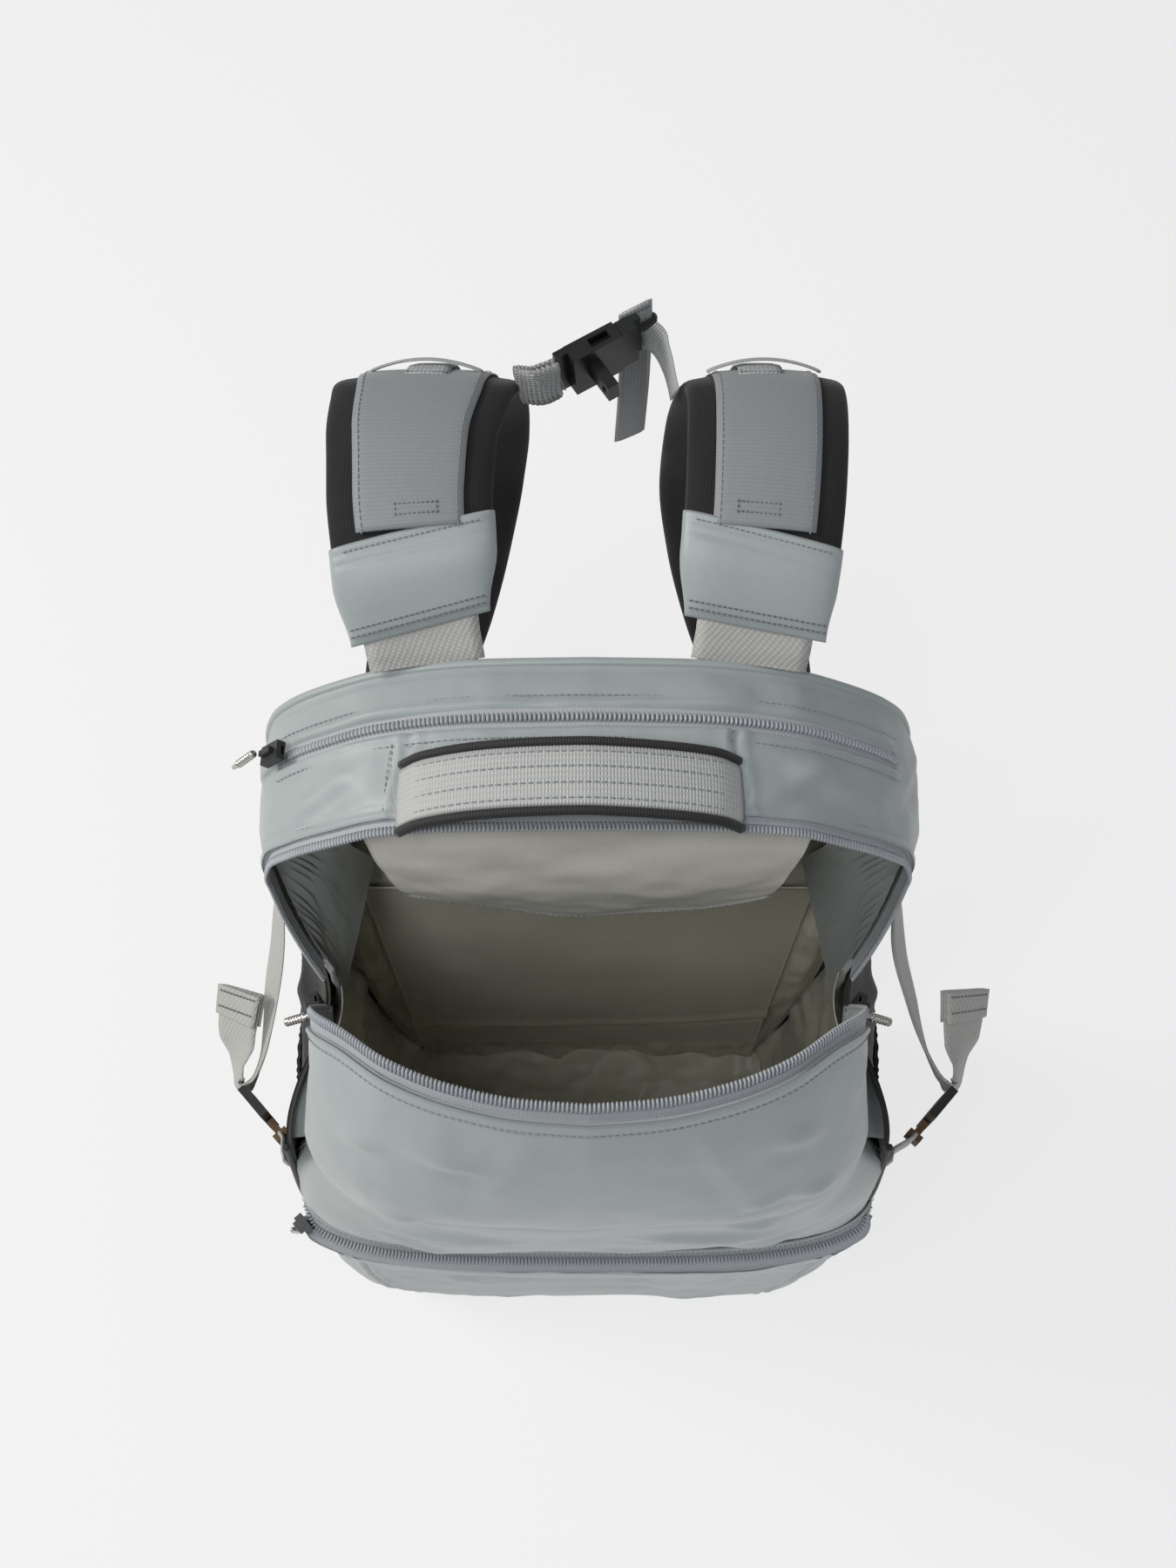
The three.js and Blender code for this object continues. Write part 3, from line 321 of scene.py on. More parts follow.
def band(name, path, section, width, mat, body, nodes=(), closed=False):
    """A strip along a path. section is (across, up) points in mm, or a function of the share of length."""
    path = np.asarray(path, float)
    t, w, n = frames_along(path, width)
    rows = len(path)
    first = section(0.0) if callable(section) else section
    k = len(first)
    run = np.concatenate([[0], np.cumsum(np.linalg.norm(np.diff(path, axis=0), axis=1))])
    verts, uvs = [], []
    for i in range(rows):
        s = np.asarray(section(i / (rows - 1)) if callable(section) else section, float)
        verts.append(path[i] + s[:, :1] * w[i] + s[:, 1:] * n[i])
        uvs.append(np.stack([s[:, 0] + s[:, 1] * 0.3, np.full(k, run[i])], 1))
    faces = []
    last = rows if closed else rows - 1
    for i in range(last):
        for j in range(k):
            a, b = i * k + j, i * k + (j + 1) % k
            c, d = ((i + 1) % rows) * k + (j + 1) % k, ((i + 1) % rows) * k + j
            faces.append((a, b, c, d))
    if not closed:
        faces.append(tuple(range(k))[::-1])
        faces.append(tuple((rows - 1) * k + j for j in range(k)))
    area = sum(first[j][0] * first[(j + 1) % k][1] - first[(j + 1) % k][0] * first[j][1] for j in range(k))
    if area < 0:
        faces = [f[::-1] for f in faces]
    return finish_mesh(name, np.concatenate(verts), faces, np.concatenate(uvs), mat, body, nodes)


def resample(path, step):
    path = np.asarray(path, float)
    run = np.concatenate([[0], np.cumsum(np.linalg.norm(np.diff(path, axis=0), axis=1))])
    count = max(2, int(round(run[-1] / step)) + 1)
    at = np.linspace(0, run[-1], count)
    return np.stack([np.interp(at, run, path[:, c]) for c in range(3)], 1)


def web_section(width, thick, crown=0.0, steps=6):
    """Section of webbing: thinner at its edges and slightly crowned."""
    xs = np.linspace(-1, 1, steps + 1)
    edge = np.where(np.abs(xs) > 0.99, 0.35, 1.0)
    low = [(x * width / 2, -thick / 2 * e + crown * (1 - x * x)) for x, e in zip(xs, edge)]
    top = [(x * width / 2, thick / 2 * e + crown * (1 - x * x)) for x, e in zip(xs, edge)]
    return low + top[::-1]


def pad_section(width, thick, n=28, square=0.4):
    a = (np.arange(n) + 0.5) / n * 2 * np.pi
    c, s = np.cos(a), np.sin(a)
    return np.stack([width / 2 * np.sign(c) * np.abs(c) ** square,
            thick / 2 * np.sign(s) * np.abs(s) ** 0.8], 1)


def many(name, parts, mat, body):
    """Joins small closed parts, each (verts, faces), into one piece."""
    verts, faces, start = [], [], 0
    for v, f in parts:
        verts.append(np.asarray(v))
        faces.extend([tuple(i + start for i in face) for face in f])
        start += len(v)
    verts = np.concatenate(verts)
    return finish_mesh(name, verts, faces, verts[:, :2], mat, body, ())


BOX_FACES = [(0, 3, 2, 1), (4, 5, 6, 7), (0, 1, 5, 4), (1, 2, 6, 5), (2, 3, 7, 6), (3, 0, 4, 7)]


def rounded_bead(p, t, w, n, length, width, height):
    rings = []
    for a, k in ((-0.5, 0.55), (-0.28, 1.0), (0.28, 1.0), (0.5, 0.55)):
        for q in range(6):
            ang = q / 6 * 2 * math.pi
            rings.append(p + t * a * length + w * math.cos(ang) * width / 2 * k + n * math.sin(ang)
                    * height / 2 * k)
    faces = [(0, 1, 2, 3, 4, 5)[::-1], (18, 19, 20, 21, 22, 23)]
    for r in range(3):
        for q in range(6):
            faces.append((r * 6 + q, r * 6 + (q + 1) % 6, (r + 1) * 6 + (q + 1) % 6, (r + 1) * 6 + q))
    return np.array(rings), faces


def stitches(name, path, up, body, pitch=2.6, size=0.55, mat=None):
    """A row of thread stitches along a path; up is the outward direction at each point."""
    pts = resample(path, pitch)
    t = unit(np.gradient(pts, axis=0))
    ups = np.broadcast_to(np.asarray(up, float), np.asarray(path).shape)
    keys = np.linspace(0, 1, len(ups))
    n = unit(np.stack([np.interp(np.linspace(0, 1, len(pts)), keys, ups[:, c]) for c in range(3)], 1))
    w = unit(np.cross(n, t))
    parts = [rounded_bead(p, a, b, c, pitch * 0.72, size, size * 0.8) for p, a, b, c in zip(pts, t, w, n)]
    return many(name, parts, mat or THREAD, body)


def fractal(points, scale, seed=0.0, octaves=3):
    """Soft noise, about -1 to 1, at a grid of points in mm; scale is the size of a fold in mm."""
    flatp = points.reshape(-1, 3)
    out = np.empty(len(flatp))
    for i, p in enumerate(flatp):
        out[i] = noise.fractal(Vector((p / scale + seed).tolist()), 1.0, 2.0, octaves)
    return out.reshape(points.shape[:-1])


def fold(points, a, b, width, depth, share, beside):
    """A crease with a shallow ridge beside it, set off by a multiple of its width."""
    ridge = crease(points + [x * width for x in beside], a, b, width, depth)
    return crease(points, a, b, width, depth) - share * ridge


def crease(points, a, b, width, depth):
    """A fold that runs from a to b: a ridge of the given width and height that fades at its ends."""
    a, b = np.asarray(a, float), np.asarray(b, float)
    ab = b - a
    t = np.clip(np.sum((points - a) * ab, axis=-1) / np.dot(ab, ab), 0, 1)
    d = np.linalg.norm(points - (a + t[..., None] * ab), axis=-1)
    fade = np.sin(np.pi * np.clip(t * 0.9 + 0.05, 0, 1)) ** 0.7
    return depth * np.exp(-(d / width) ** 2) * fade


# ---------------------------------------------------------------- the bag's own surfaces
half_front = table([0, 8, 30, 110, 200, 250, 300, 350], [116, 121, 128, 138, 143, 141, 137, 133])
half_back = table([0, 8, 30, 110, 200, 300, 350, 372, 396, 421],
                  [116, 121, 128, 138, 143, 142, 141, 141, 140, 137])
front_mid = table([0, 8, 30, 110, 190, 215, 250, 290, 331, 350],
                  [-82, -85, -87, -88, -87.5, -90, -96, -102, -106, -107])
front_side = table([0, 30, 110, 200, 300, 350], [-64, -66, -62, -56, -47, -41])
corner = table([0, 60, 200, 300, 350], [5.2, 4.4, 3.3, 2.7, 2.7])


def wall(c, z, out=0.0):
    """Front and side of the bag: c is 0 at mid front, 0.5 at the front corner, 1 at the back edge."""
    c, z, out = np.broadcast_arrays(np.asarray(c, float), np.asarray(z, float), np.asarray(out, float))
    side = np.where(c < 0, -1.0, 1.0)
    k = np.abs(c)
    hf = half_front(z) + out
    ys = front_side(z)
    ym = front_mid(z) - out
    q = np.clip(k, 0, 0.5) * np.pi
    x_front = hf * np.sin(q) ** (2 / corner(z))
    y_front = ys + (ym - ys) * np.clip(np.cos(q), 0, 1) ** (2 / corner(z))
    t = np.clip((k - 0.5) * 2, 0, 1)
    x = np.where(k <= 0.5, x_front, mix(hf, half_back(z) + out, smooth(t)))
    y = np.where(k <= 0.5, y_front, mix(ys, BAG_BACK_Y, t))
    pinch = 17 * np.exp(-((y - 4) / 34) ** 2) * smooth((z - 265) / 80)
    return np.stack([side * (x - pinch), y, z], -1)


ZIP_KEYS = [0, 0.12, 0.25, 0.36, 0.46, 0.55, 0.65, 0.76, 0.88, 1]
zip_line = curve(ZIP_KEYS, [[0, 22, 488], [40, 22.5, 486], [77, 24, 478], [100, 25, 464], [118, 26, 450],
                            [129, 27, 436], [133, 27, 418], [131, 22, 396], [125, 13, 372], [117, 4, 352]])
arch_line = curve(ZIP_KEYS, [[0, 96, 484], [40, 96, 482.5], [79, 96, 475], [104, 96, 463], [122, 96, 450],
                             [132, 96, 437], [138, 96, 418], [140.5, 96, 396], [141, 96, 372],
                             [141, 96, 352]])


def sided(line, p):
    points = line(np.abs(p))
    points[..., 0] *= np.where(np.asarray(p) < 0, -1.0, 1.0)
    return points


def outward(m):
    """Outward direction of the top and shoulders at points m."""
    return unit(np.stack([m[..., 0] * 0.9, np.zeros(m.shape[:-1]), np.maximum(0, m[..., 2] - 400)], -1))


def shell(p, y, lift=0.0):
    """Top of the bag behind the main zip: p runs along the arch, y from the zip to the back edge."""
    p, y, lift = np.broadcast_arrays(np.asarray(p, float), np.asarray(y, float), np.asarray(lift, float))
    a, b = sided(zip_line, p), sided(arch_line, p)
    t = (y - a[..., 1]) / (b[..., 1] - a[..., 1])
    m = a + (b - a) * t[..., None]
    return m + outward(m) * (3.2 * np.sin(np.pi * np.clip(t, 0, 1)) + lift)[..., None]


def p_of_x(x):
    ps = np.linspace(0, 0.5, 600)
    return math.copysign(float(np.interp(abs(x), zip_line(ps)[:, 0], ps)), x)


S_KEYS = [0, 0.18, 0.36, 0.52, 0.66, 0.79, 0.9, 1]
low_line = curve(S_KEYS, [[0, 102, 0], [38, 101, 0], [68, 98.5, 0], [94, 92, 0], [110, 80, 0], [119, 60, 0],
                          [119.5, 36, 0], [114, 13.5, 0]])
edge_line = curve(S_KEYS, [[0, -74.5, 118], [25, -72.5, 117.6], [50, -67, 117.8], [73, -57.5, 116.5],
                           [91, -44, 108], [105, -33, 94], [112.5, -20, 56], [114, -6.5, 12.5]])
flap_reach = table([-13, 5, 12, 20, 30, 40, 50, 57.7], [102, 102, 104.5, 108.5, 114.5, 122.5, 133, 139.6])


def flap(s, t, trim=0.0):
    """Open flap: s from side to side, t from the fold line up to the zip edge."""
    s, t, trim = np.broadcast_arrays(np.asarray(s, float), np.asarray(t, float), np.asarray(trim, float))
    k = np.abs(s)
    low, e = low_line(k), edge_line(k)
    reach = np.hypot(e[..., 1], e[..., 2])
    a_edge = np.degrees(np.arctan2(e[..., 2], -e[..., 1])) - np.degrees(trim / reach)
    a = mix(FLAP_LOW, a_edge, t)
    w = smooth((a - 5) / (a_edge - 5)) * 0.85 + 0.15 * np.clip((a - 5) / (a_edge - 5), 0, 1)
    share = (flap_reach(mix(-13, 57.7, np.clip((a + 13) / (a_edge + 13), 0, 1))) - 102) / 37.6
    above = a > 5
    r = mix(low[..., 1], reach, np.where(above, share, 0))
    x = mix(low[..., 0], e[..., 0], np.where(above, w, 0))
    a = np.radians(a)
    return np.stack([np.where(s < 0, -1.0, 1.0) * x, -r * np.cos(a), HINGE_Z + r * np.sin(a)], -1)


def pocket_zip_z(x):
    return 196 + 24 * (np.asarray(x) / 143) ** 2


def lifted(points, inside, height):
    """Moves a grid of points out along its own normals."""
    return points + grid_normals(points, inside) * height[..., None]


def hem(v, at, width, depth):
    """A stitched-down line at one place of v."""
    return -depth * np.exp(-((v - at) / width) ** 2)


# ---------------------------------------------------------------- front: lower panel and flap in one sweep
def build_front():
    columns = np.concatenate([np.linspace(-1, -0.72, 44)[:-1], np.linspace(-0.72, 0.72, 96),
                              np.linspace(0.72, 1, 44)[1:]])
    up = np.linspace(0, 1, 92)
    s, t = np.meshgrid(columns, up, indexing="ij")
    trim = 8.0 * np.clip((1 - np.abs(s)) / 0.03 + 0.1, 0, 1)
    upper = flap(s, t, trim)
    low = upper[:, :1]
    # The lower panel meets the flap's foot; outside the corners it ends at the side cloth.
    k = np.abs(columns)
    cs = np.linspace(0, 0.9, 1400)
    c_low = np.array([cs[np.argmin(np.linalg.norm(wall(cs, p[2])[:, :2] - [abs(p[0]), p[1]], axis=1))]
                      for p in low[:, 0]])
    c_end = np.where(k < 0.74, c_low * 0.455 / max(np.interp(0.74, k[len(k) // 2:], c_low[len(k) // 2:]),
            0.2), 0.455)
    c_end = np.minimum(c_end, 0.455)
    c_end = np.where(k > 0.8, c_low, c_end)
    z_low = low[:, 0, 2]
    z_end = mix(5.0, 328.0, smooth((k - 0.745) / 0.055))
    z_end = np.minimum(z_end, z_low - 3)
    down = np.linspace(0, 1, 96)[:-1]
    c = c_end[:, None] + (c_low - c_end)[:, None] * down[None, :] 
    z = z_end[:, None] + (z_low - z_end)[:, None] * down[None, :]
    side = np.where(columns < 0, -1.0, 1.0)[:, None]
    base = wall(c * side, z)
    shift = low[:, 0] - wall(c_low * side[:, 0], z_low)
    foot = mix(262, 296, smooth((k - 0.5) / 0.22))[:, None]
    pull_in = smooth((z - foot) / np.maximum(z_low[:, None] - foot, 1)) ** 1.3
    pull_in = np.where(k[:, None] > 0.8, down[None, :] ** 0.5, pull_in)
    base = base + shift[:, None, :] * pull_in[..., None]
    points = np.concatenate([base, upper], axis=1)
    # Ease the turn from panel to flap.
    for _ in range(60):
        seat = base.shape[1]
        span = slice(seat - 22, seat + 22)
        ring = points[:, span]
        soft = ring.copy()
        soft[:, 1:-1] = (ring[:, :-2] + ring[:, 2:] + 2 * ring[:, 1:-1]) / 4
        points[:, span] = soft
    inside = np.array([0, 10, 300.0])
    swell = 2.2 * fractal(points, 95.0, 3.1) + 0.9 * fractal(points * [1, 1, 0.7], 34.0, 8.3)
    still = smooth((1 - np.abs(s[:, :1])) / 0.05) * np.ones(points.shape[:2])
    edge = np.concatenate([np.zeros(base.shape[1]), up])
    still = still * smooth((1 - edge) / 0.10)[None, :]
    folds = np.zeros(points.shape[:2])
    for a, b, width, depth in (
            ((112, -22, 372), (74, -82, 440), 5.5, 3.4), ((116, -40, 352), (84, -96, 400), 6.0, 3.0),
            ((104, -50, 424), (66, -100, 392), 5.0, 2.4), ((118, -52, 338), (60, -106, 352), 7.0, 2.6),
            ((-112, -24, 372), (-84, -84, 430), 5.5, 2.8), ((-117, -48, 346), (-70, -104, 372), 6.0, 2.6),
            ((-98, -48, 440), (-40, -96, 436), 5.5, 1.8), ((40, -84, 462), (64, -110, 384), 6.0, 1.8),
            ((-20, -88, 462), (-44, -116, 372), 8.0, 1.5), ((20, -104, 316), (90, -92, 300), 7.0, 2.0),
            ((-30, -104, 310), (-96, -88, 290), 7.0, 2.0), ((112, -76, 300), (70, -98, 250), 7.0, 2.2),
            ((-110, -76, 290), (-64, -98, 244), 7.0, 2.0), ((0, -98, 262), (56, -96, 232), 8.0, 1.4)):
        folds += fold(points, a, b, width, depth, 0.6, (0, 0, 1.7))
    points = lifted(points, inside, (swell + 1.5 * folds) * still)
    # Edge rolled over the zip tape, with its row of stitching set in.
    run = (1 - edge)[None, :] * 120.0
    roll = 1.0 * np.exp(-((run - 1.2) / 1.6) ** 2) + hem(run, 4.6, 1.3, 0.3)
    points = lifted(points, inside, roll * smooth((1 - np.abs(s[:, :1])) / 0.03))
    piece = panel("front_and_flap", points, inside, 2.3, COATED, None,
                  ("front_panel_lower", "front_flap", "front_facing"))
    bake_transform(piece)
    return points


front_points = build_front()


# ---------------------------------------------------------------- top and shoulders behind the main zip
def build_rear_shell():
    p = np.linspace(-0.998, 0.998, 300)
    v = np.linspace(0, 1, 46)
    pp, vv = np.meshgrid(p, v, indexing="ij")
    front = sided(zip_line, p)[:, 1] + 6.6
    y = mix(front[:, None], BAG_BACK_Y, vv)
    points = shell(pp, y)
    inside = np.array([0, 60, 300.0])
    x = points[..., 0]
    swell = 1.5 * fractal(points, 60.0, 1.7) + 0.8 * fractal(points, 24.0, 5.2)
    calm = smooth(vv / 0.16) * smooth((1 - vv) / 0.12)
    slot = np.exp(-(np.maximum(np.abs(y - 70) - 3.2, 0) / 1.0) ** 2) * smooth((0.487 - np.abs(pp)) / 0.014)
    lips = 1.2 * np.exp(-((np.abs(y - 70) - 6.2) / 1.7) ** 2) * smooth((0.487 - np.abs(pp)) / 0.014)
    height = swell * calm * (1 - 0.75 * slot) - 3.0 * slot + lips
    for x0, x1 in ((-73, -68), (58.5, 55)):
        line = mix(x0, x1, (y - 30) / 36)
        d = x - line
        on = (y < 66) * 1.0
        height += on * (-1.7 * np.exp(-(d / 1.1) ** 2) + 0.9 * np.exp(-((np.abs(d) - 3.2) / 2.0) ** 2))
    for a, b, width, depth in (
            ((-80, 40, 488), (-112, 60, 466), 5.0, 2.2), ((-84, 54, 484), (-124, 40, 446), 4.5, 1.8),
            ((66, 36, 488), (98, 58, 474), 5.0, 2.2), ((70, 56, 486), (120, 44, 456), 5.0, 2.0),
            ((-134, 46, 424), (-138, 70, 392), 5.0, 2.0), ((134, 46, 424), (138, 70, 388), 5.0, 2.0),
            ((-50, 82, 490), (10, 88, 490), 5.0, 1.3), ((30, 84, 490), (80, 80, 482), 5.0, 1.3),
            ((-130, 60, 440), (-139, 84, 420), 4.0, 1.8), ((128, 58, 444), (138, 84, 424), 4.0, 1.8)):
        height += fold(points, a, b, width, depth, 0.5, (0, 1.6, 0)) * (1 - slot)
    run = (y - front[:, None])
    height += 0.8 * np.exp(-((run - 1.2) / 1.4) ** 2) + hem(run, 4.2, 1.0, 0.6)
    height += hem(BAG_BACK_Y - y, 4.0, 1.0, 0.7)
    points = points + outward(points) * height[..., None]
    panel("rear_top_and_shoulders", points, inside, 2.3, COATED, "pack_body",
          ("handle_panel", "shoulder_panel_left", "shoulder_panel_right", "rear_edge_panel"))
    # Piping where the top turns down to the back pad.
    ps = np.linspace(-0.985, 0.985, 220)
    edge = shell(ps, BAG_BACK_Y - 0.4)
    edge[:, 1] += 0.4
    band("back_edge_piping", edge + outward(edge) * -0.6, pad_section(4.0, 4.0, 10, 1.0), (0, 1, 0), COATED,
         "pack_body")


build_rear_shell()


# ---------------------------------------------------------------- sides, pocket, base
def build_sides():
    for side, sgn in (("left", -1), ("right", 1)):
        c = np.linspace(0.4355, 1, 74)
        v = np.linspace(0, 1, 110)
        cc, vv = np.meshgrid(c, v, indexing="ij")
        y = wall(cc, 300)[..., 1]
        top = np.where(y < 2, 338 - 0.05 * np.maximum(0, -y), mix(338, 351.5, smooth((y - 12) / 10)))
        points = wall(cc * sgn, mix(4.6, top, vv))
        inside = np.array([0, 10, 200.0])
        height = 2.4 * fractal(points, 80.0, 2.0 + sgn) + 1.0 * fractal(points, 30.0, 6.0 + sgn)
        for a, b, width, depth in (
                ((134, -50, 330), (138, 10, 280), 7.0, 3.0), ((126, -20, 332), (140, 40, 270), 6.5, 2.6),
                ((132, 60, 340), (140, -10, 250), 7.0, 2.2), ((141, 80, 300), (141, 0, 240), 6.0, 2.0),
                ((140, -50, 280), (142, 30, 210), 8.0, 2.0)):
            a, b = mirror(a, sgn), mirror(b, sgn)
            height += fold(points, a, b, width, depth, 0.5, (0, 0, 1.6))
        quiet = smooth((cc - 0.4355) / 0.05) * smooth((1 - cc) / 0.05) * smooth(vv
                / 0.04) * smooth((1 - vv) / 0.03)
        points = points + unit(np.stack([points[..., 0], points[..., 1] * 0.2, points[..., 2] * 0],
                -1)) * (height * quiet)[..., None]
        panel(f"side_{side}", points, inside, 2.0, PACKCLOTH, "pack_body", (f"side_panel_{side}",))
        z = np.linspace(6, 334, 120)
        seam = wall(np.full(120, 0.434 * sgn), z, 0.5)
        band(f"side_seam_piping_{side}", seam, pad_section(3.0, 3.0, 8, 1.0), (1, 0, 0), PACKCLOTH,
                "pack_body")


build_sides()


def build_front_pocket():
    c = np.linspace(-0.41, 0.41, 130)
    v = np.linspace(0, 1, 84)
    cc, vv = np.meshgrid(c, v, indexing="ij")
    top = pocket_zip_z(wall(c, 205)[:, 0]) - 7.4
    z = mix(5.5, top[:, None], vv)
    puff = 3.6 * np.sin(np.pi * vv) * np.cos(cc * 2.6) ** 2
    points = wall(cc, z, 4.6 + puff + 6.4 * smooth((vv - 0.72) / 0.28)
            * (1 - 0.75 * smooth((np.abs(cc) - 0.33) / 0.08)))
    inside = np.array([0, 10, 100.0])
    height = 1.7 * fractal(points, 70.0, 4.4) + 0.8 * fractal(points, 26.0, 9.1)
    for a, b, width, depth in (
            ((-118, -70, 190), (-60, -92, 120), 7.0, 2.6), ((116, -72, 188), (66, -92, 130), 7.0, 2.6),
            ((-100, -84, 60), (-30, -94, 30), 7.0, 2.0), ((104, -82, 70), (40, -94, 28), 7.0, 2.0),
            ((-20, -96, 160), (40, -96, 110), 9.0, 1.5)):
        height += fold(points, a, b, width, depth, 0.5, (0, 0, 1.7))
    # Corner seams that run up from the base.
    for x0 in (-1, 1):
        line = x0 * mix(106, 122, smooth(z / 150))
        d = points[..., 0] - line
        height += -1.4 * np.exp(-(d / 1.3) ** 2) + 0.7 * np.exp(-((np.abs(d) - 3.4) / 2.0) ** 2)
    rim = (1 - vv) * (top - 5.5)[:, None]
    height += 0.9 * np.exp(-((rim - 1.4) / 1.5) ** 2) + hem(rim, 4.6, 1.1, 0.8)
    points = lifted(points, inside, height * smooth(vv / 0.03) * smooth((0.41 - np.abs(cc)) / 0.012))
    panel("front_pocket", points, inside, 1.7, COATED, "pack_body", ("front_pocket_panel",))
    # Folded flange over the upper edge of the zip.
    cs = np.linspace(-0.433, 0.433, 150)
    z = pocket_zip_z(wall(cs, 205)[:, 0]) + 8.6
    line = wall(cs, z, 1.4)
    band("pocket_zip_flange", line, web_section(8.4, 1.3, 0.5), (0, 0, 1), COATED, "pack_body")


build_front_pocket()


def ring_at(z, inset, back_y):
    q = wall(np.linspace(-0.5, 0.5, 61), z)
    x = q[:, 0] * (1 - inset / 125)
    y = q[:, 1] + np.where(q[:, 1] < -30, inset, 0)
    h = float(half_back(z)) - inset
    tail = [(h, back_y - 14), (h - 1.5, back_y - 7), (h - 5, back_y - 2.5), (h - 14, back_y),
            (-h + 14, back_y),
            (-h + 5, back_y - 2.5), (-h + 1.5, back_y - 7), (-h, back_y - 14)]
    return np.concatenate([np.stack([x, y], 1), tail])


def build_base():
    rings = [ring_at(1, 6, 91), ring_at(1, 2.0, 95), ring_at(2, 0.6, 95.5), ring_at(3.4, -0.2, 95.5),
            ring_at(3.4, 6, 90)]
    heights = (0.0, 0.5, 1.8, 4.0, 4.0)
    n = len(rings[0])
    verts = np.concatenate([np.column_stack([r, np.full(n, h)]) for r, h in zip(rings, heights)])
    faces = [(k * n + i, k * n + (i + 1) % n, (k + 1) * n + (i + 1) % n, (k + 1) * n + i)
             for k in range(4) for i in range(n)]
    faces += [tuple(range(n))[::-1], tuple(4 * n + i for i in range(n))]
    finish_mesh("base", verts, faces, verts[:, :2], PACKCLOTH, "pack_body", ("base_panel",))


build_base()


def build_bottle_pockets():
    bulge = table([0, 0.12, 0.5, 0.88, 1], [0, 0.6, 1, 0.6, 0])
    for side, sgn in (("left", -1), ("right", 1)):
        u, v = np.meshgrid(np.linspace(0, 1, 70), np.linspace(0, 1, 90), indexing="ij")
        y = mix(-46, 84, u)
        z = mix(9, mix(178, 196, u), v)
        c = 0.5 + 0.5 * (y - front_side(z)) / (BAG_BACK_Y - front_side(z))
        q = wall(c, z)
        x = q[..., 0] + 3.3 + bulge(u) * mix(2, 13, smooth(v * 1.4))
        points = np.stack([sgn * x, q[..., 1], z], -1)
        inside = np.array([0, 20, 100.0])
        height = 0.9 * fractal(points, 50.0, 3.3 + sgn) + 0.4 * np.sin(u * 150 + 2
                * np.sin(u * 31)) * smooth((v - 0.82) / 0.12)
        height += hem((1 - v) * 175, 12.0, 1.2, 0.9) + 0.8 * smooth((v - 0.932) / 0.01)
        points = lifted(points, inside, height * smooth(u / 0.04) * smooth((1 - u) / 0.04) * smooth(v / 0.03))
        panel(f"bottle_pocket_{side}_knit", points, inside, 1.5, STRETCH, "pack_body",
                (f"bottle_pocket_{side}",))


build_bottle_pockets()


# ---------------------------------------------------------------- back padding and divider
def arch_half(inset):
    """Half width of the back outline at each height."""
    ps = np.linspace(0, 0.97, 300)
    q = arch_line(ps)
    inward = unit(np.stack([-q[:, 0], np.minimum(0, 330 - q[:, 2])], -1))
    x, z = q[:, 0] + inward[:, 0] * inset, q[:, 2] + inward[:, 1] * inset
    order = np.argsort(z)

    def half(height):
        upper = np.interp(height, z[order], x[order])
        return np.where(height < z.min(), (half_back(height) - inset) * 0.985, upper)
    return half, float(z.max())


def build_padded_back(name, inset, z_low, y_front, y_back, mat, nodes, quilt):
    half, z_top = arch_half(inset)
    v = np.linspace(0, 1, 150)
    u = np.linspace(-1, 1, 90)
    z = mix(z_low, z_top - 0.3, np.sin(v * np.pi / 2) ** 0.8)
    w = np.maximum(half(z), 6)
    w = w * np.clip(np.sqrt(np.clip((z - z_low) / 14, 0.4, 1)), 0, 1)
    uu, zz = np.meshgrid(u, z, indexing="ij")
    x = uu * w[None, :]
    rim = np.minimum((1 - np.abs(uu)) * w[None, :], np.minimum(zz - z_low, z_top - zz))
    roll = np.sqrt(np.clip(1 - (1 - np.clip(rim / 9, 0, 1)) ** 2, 0, 1))
    groove = quilt(x, zz)
    y = mix(y_front + 1.2, y_back, roll) - groove * roll
    y += 0.5 * roll * (1 - np.clip(groove / 2, 0, 1)) * fractal(np.stack([x, zz, zz * 0], -1), 45.0,
            2.2) - 0.4
    points = np.stack([x, np.minimum(y, y_back), zz], -1)
    piece = panel(name, points, (0, -400, 250), 1.0, mat, None, nodes)
    mesh = piece.data
    count = len(mesh.vertices) // 2
    for i in range(count, 2 * count):
        mesh.vertices[i].co.y = y_front / 1000
        mesh.vertices[i].co.x = mesh.vertices[i - count].co.x
        mesh.vertices[i].co.z = mesh.vertices[i - count].co.z
    mesh.update()
    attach(piece, "pack_body")
    return piece


def back_quilt(x, z):
    spine = 4.5 * np.exp(-(np.maximum(np.abs(x) - 9, 0) / 4) ** 2)
    ribs = sum(2.6 * np.exp(-((z - zc - 0.0012 * x * x) / 3.2) ** 2) for zc in (92, 168, 244, 320, 396))
    return np.maximum(spine, ribs)


def divider_quilt(x, z):
    return 0.5 * np.exp(-((np.abs(x) - 95) / 1.5) ** 2) + 0 * z


build_padded_back("back_padding", 4.6, 9, 87.5, 97.2, SPACER, ("back_panel",), back_quilt)
build_padded_back("laptop_divider_pad", 9, 9, 68, 70.6, LINING, ("laptop_divider",),
                            divider_quilt)


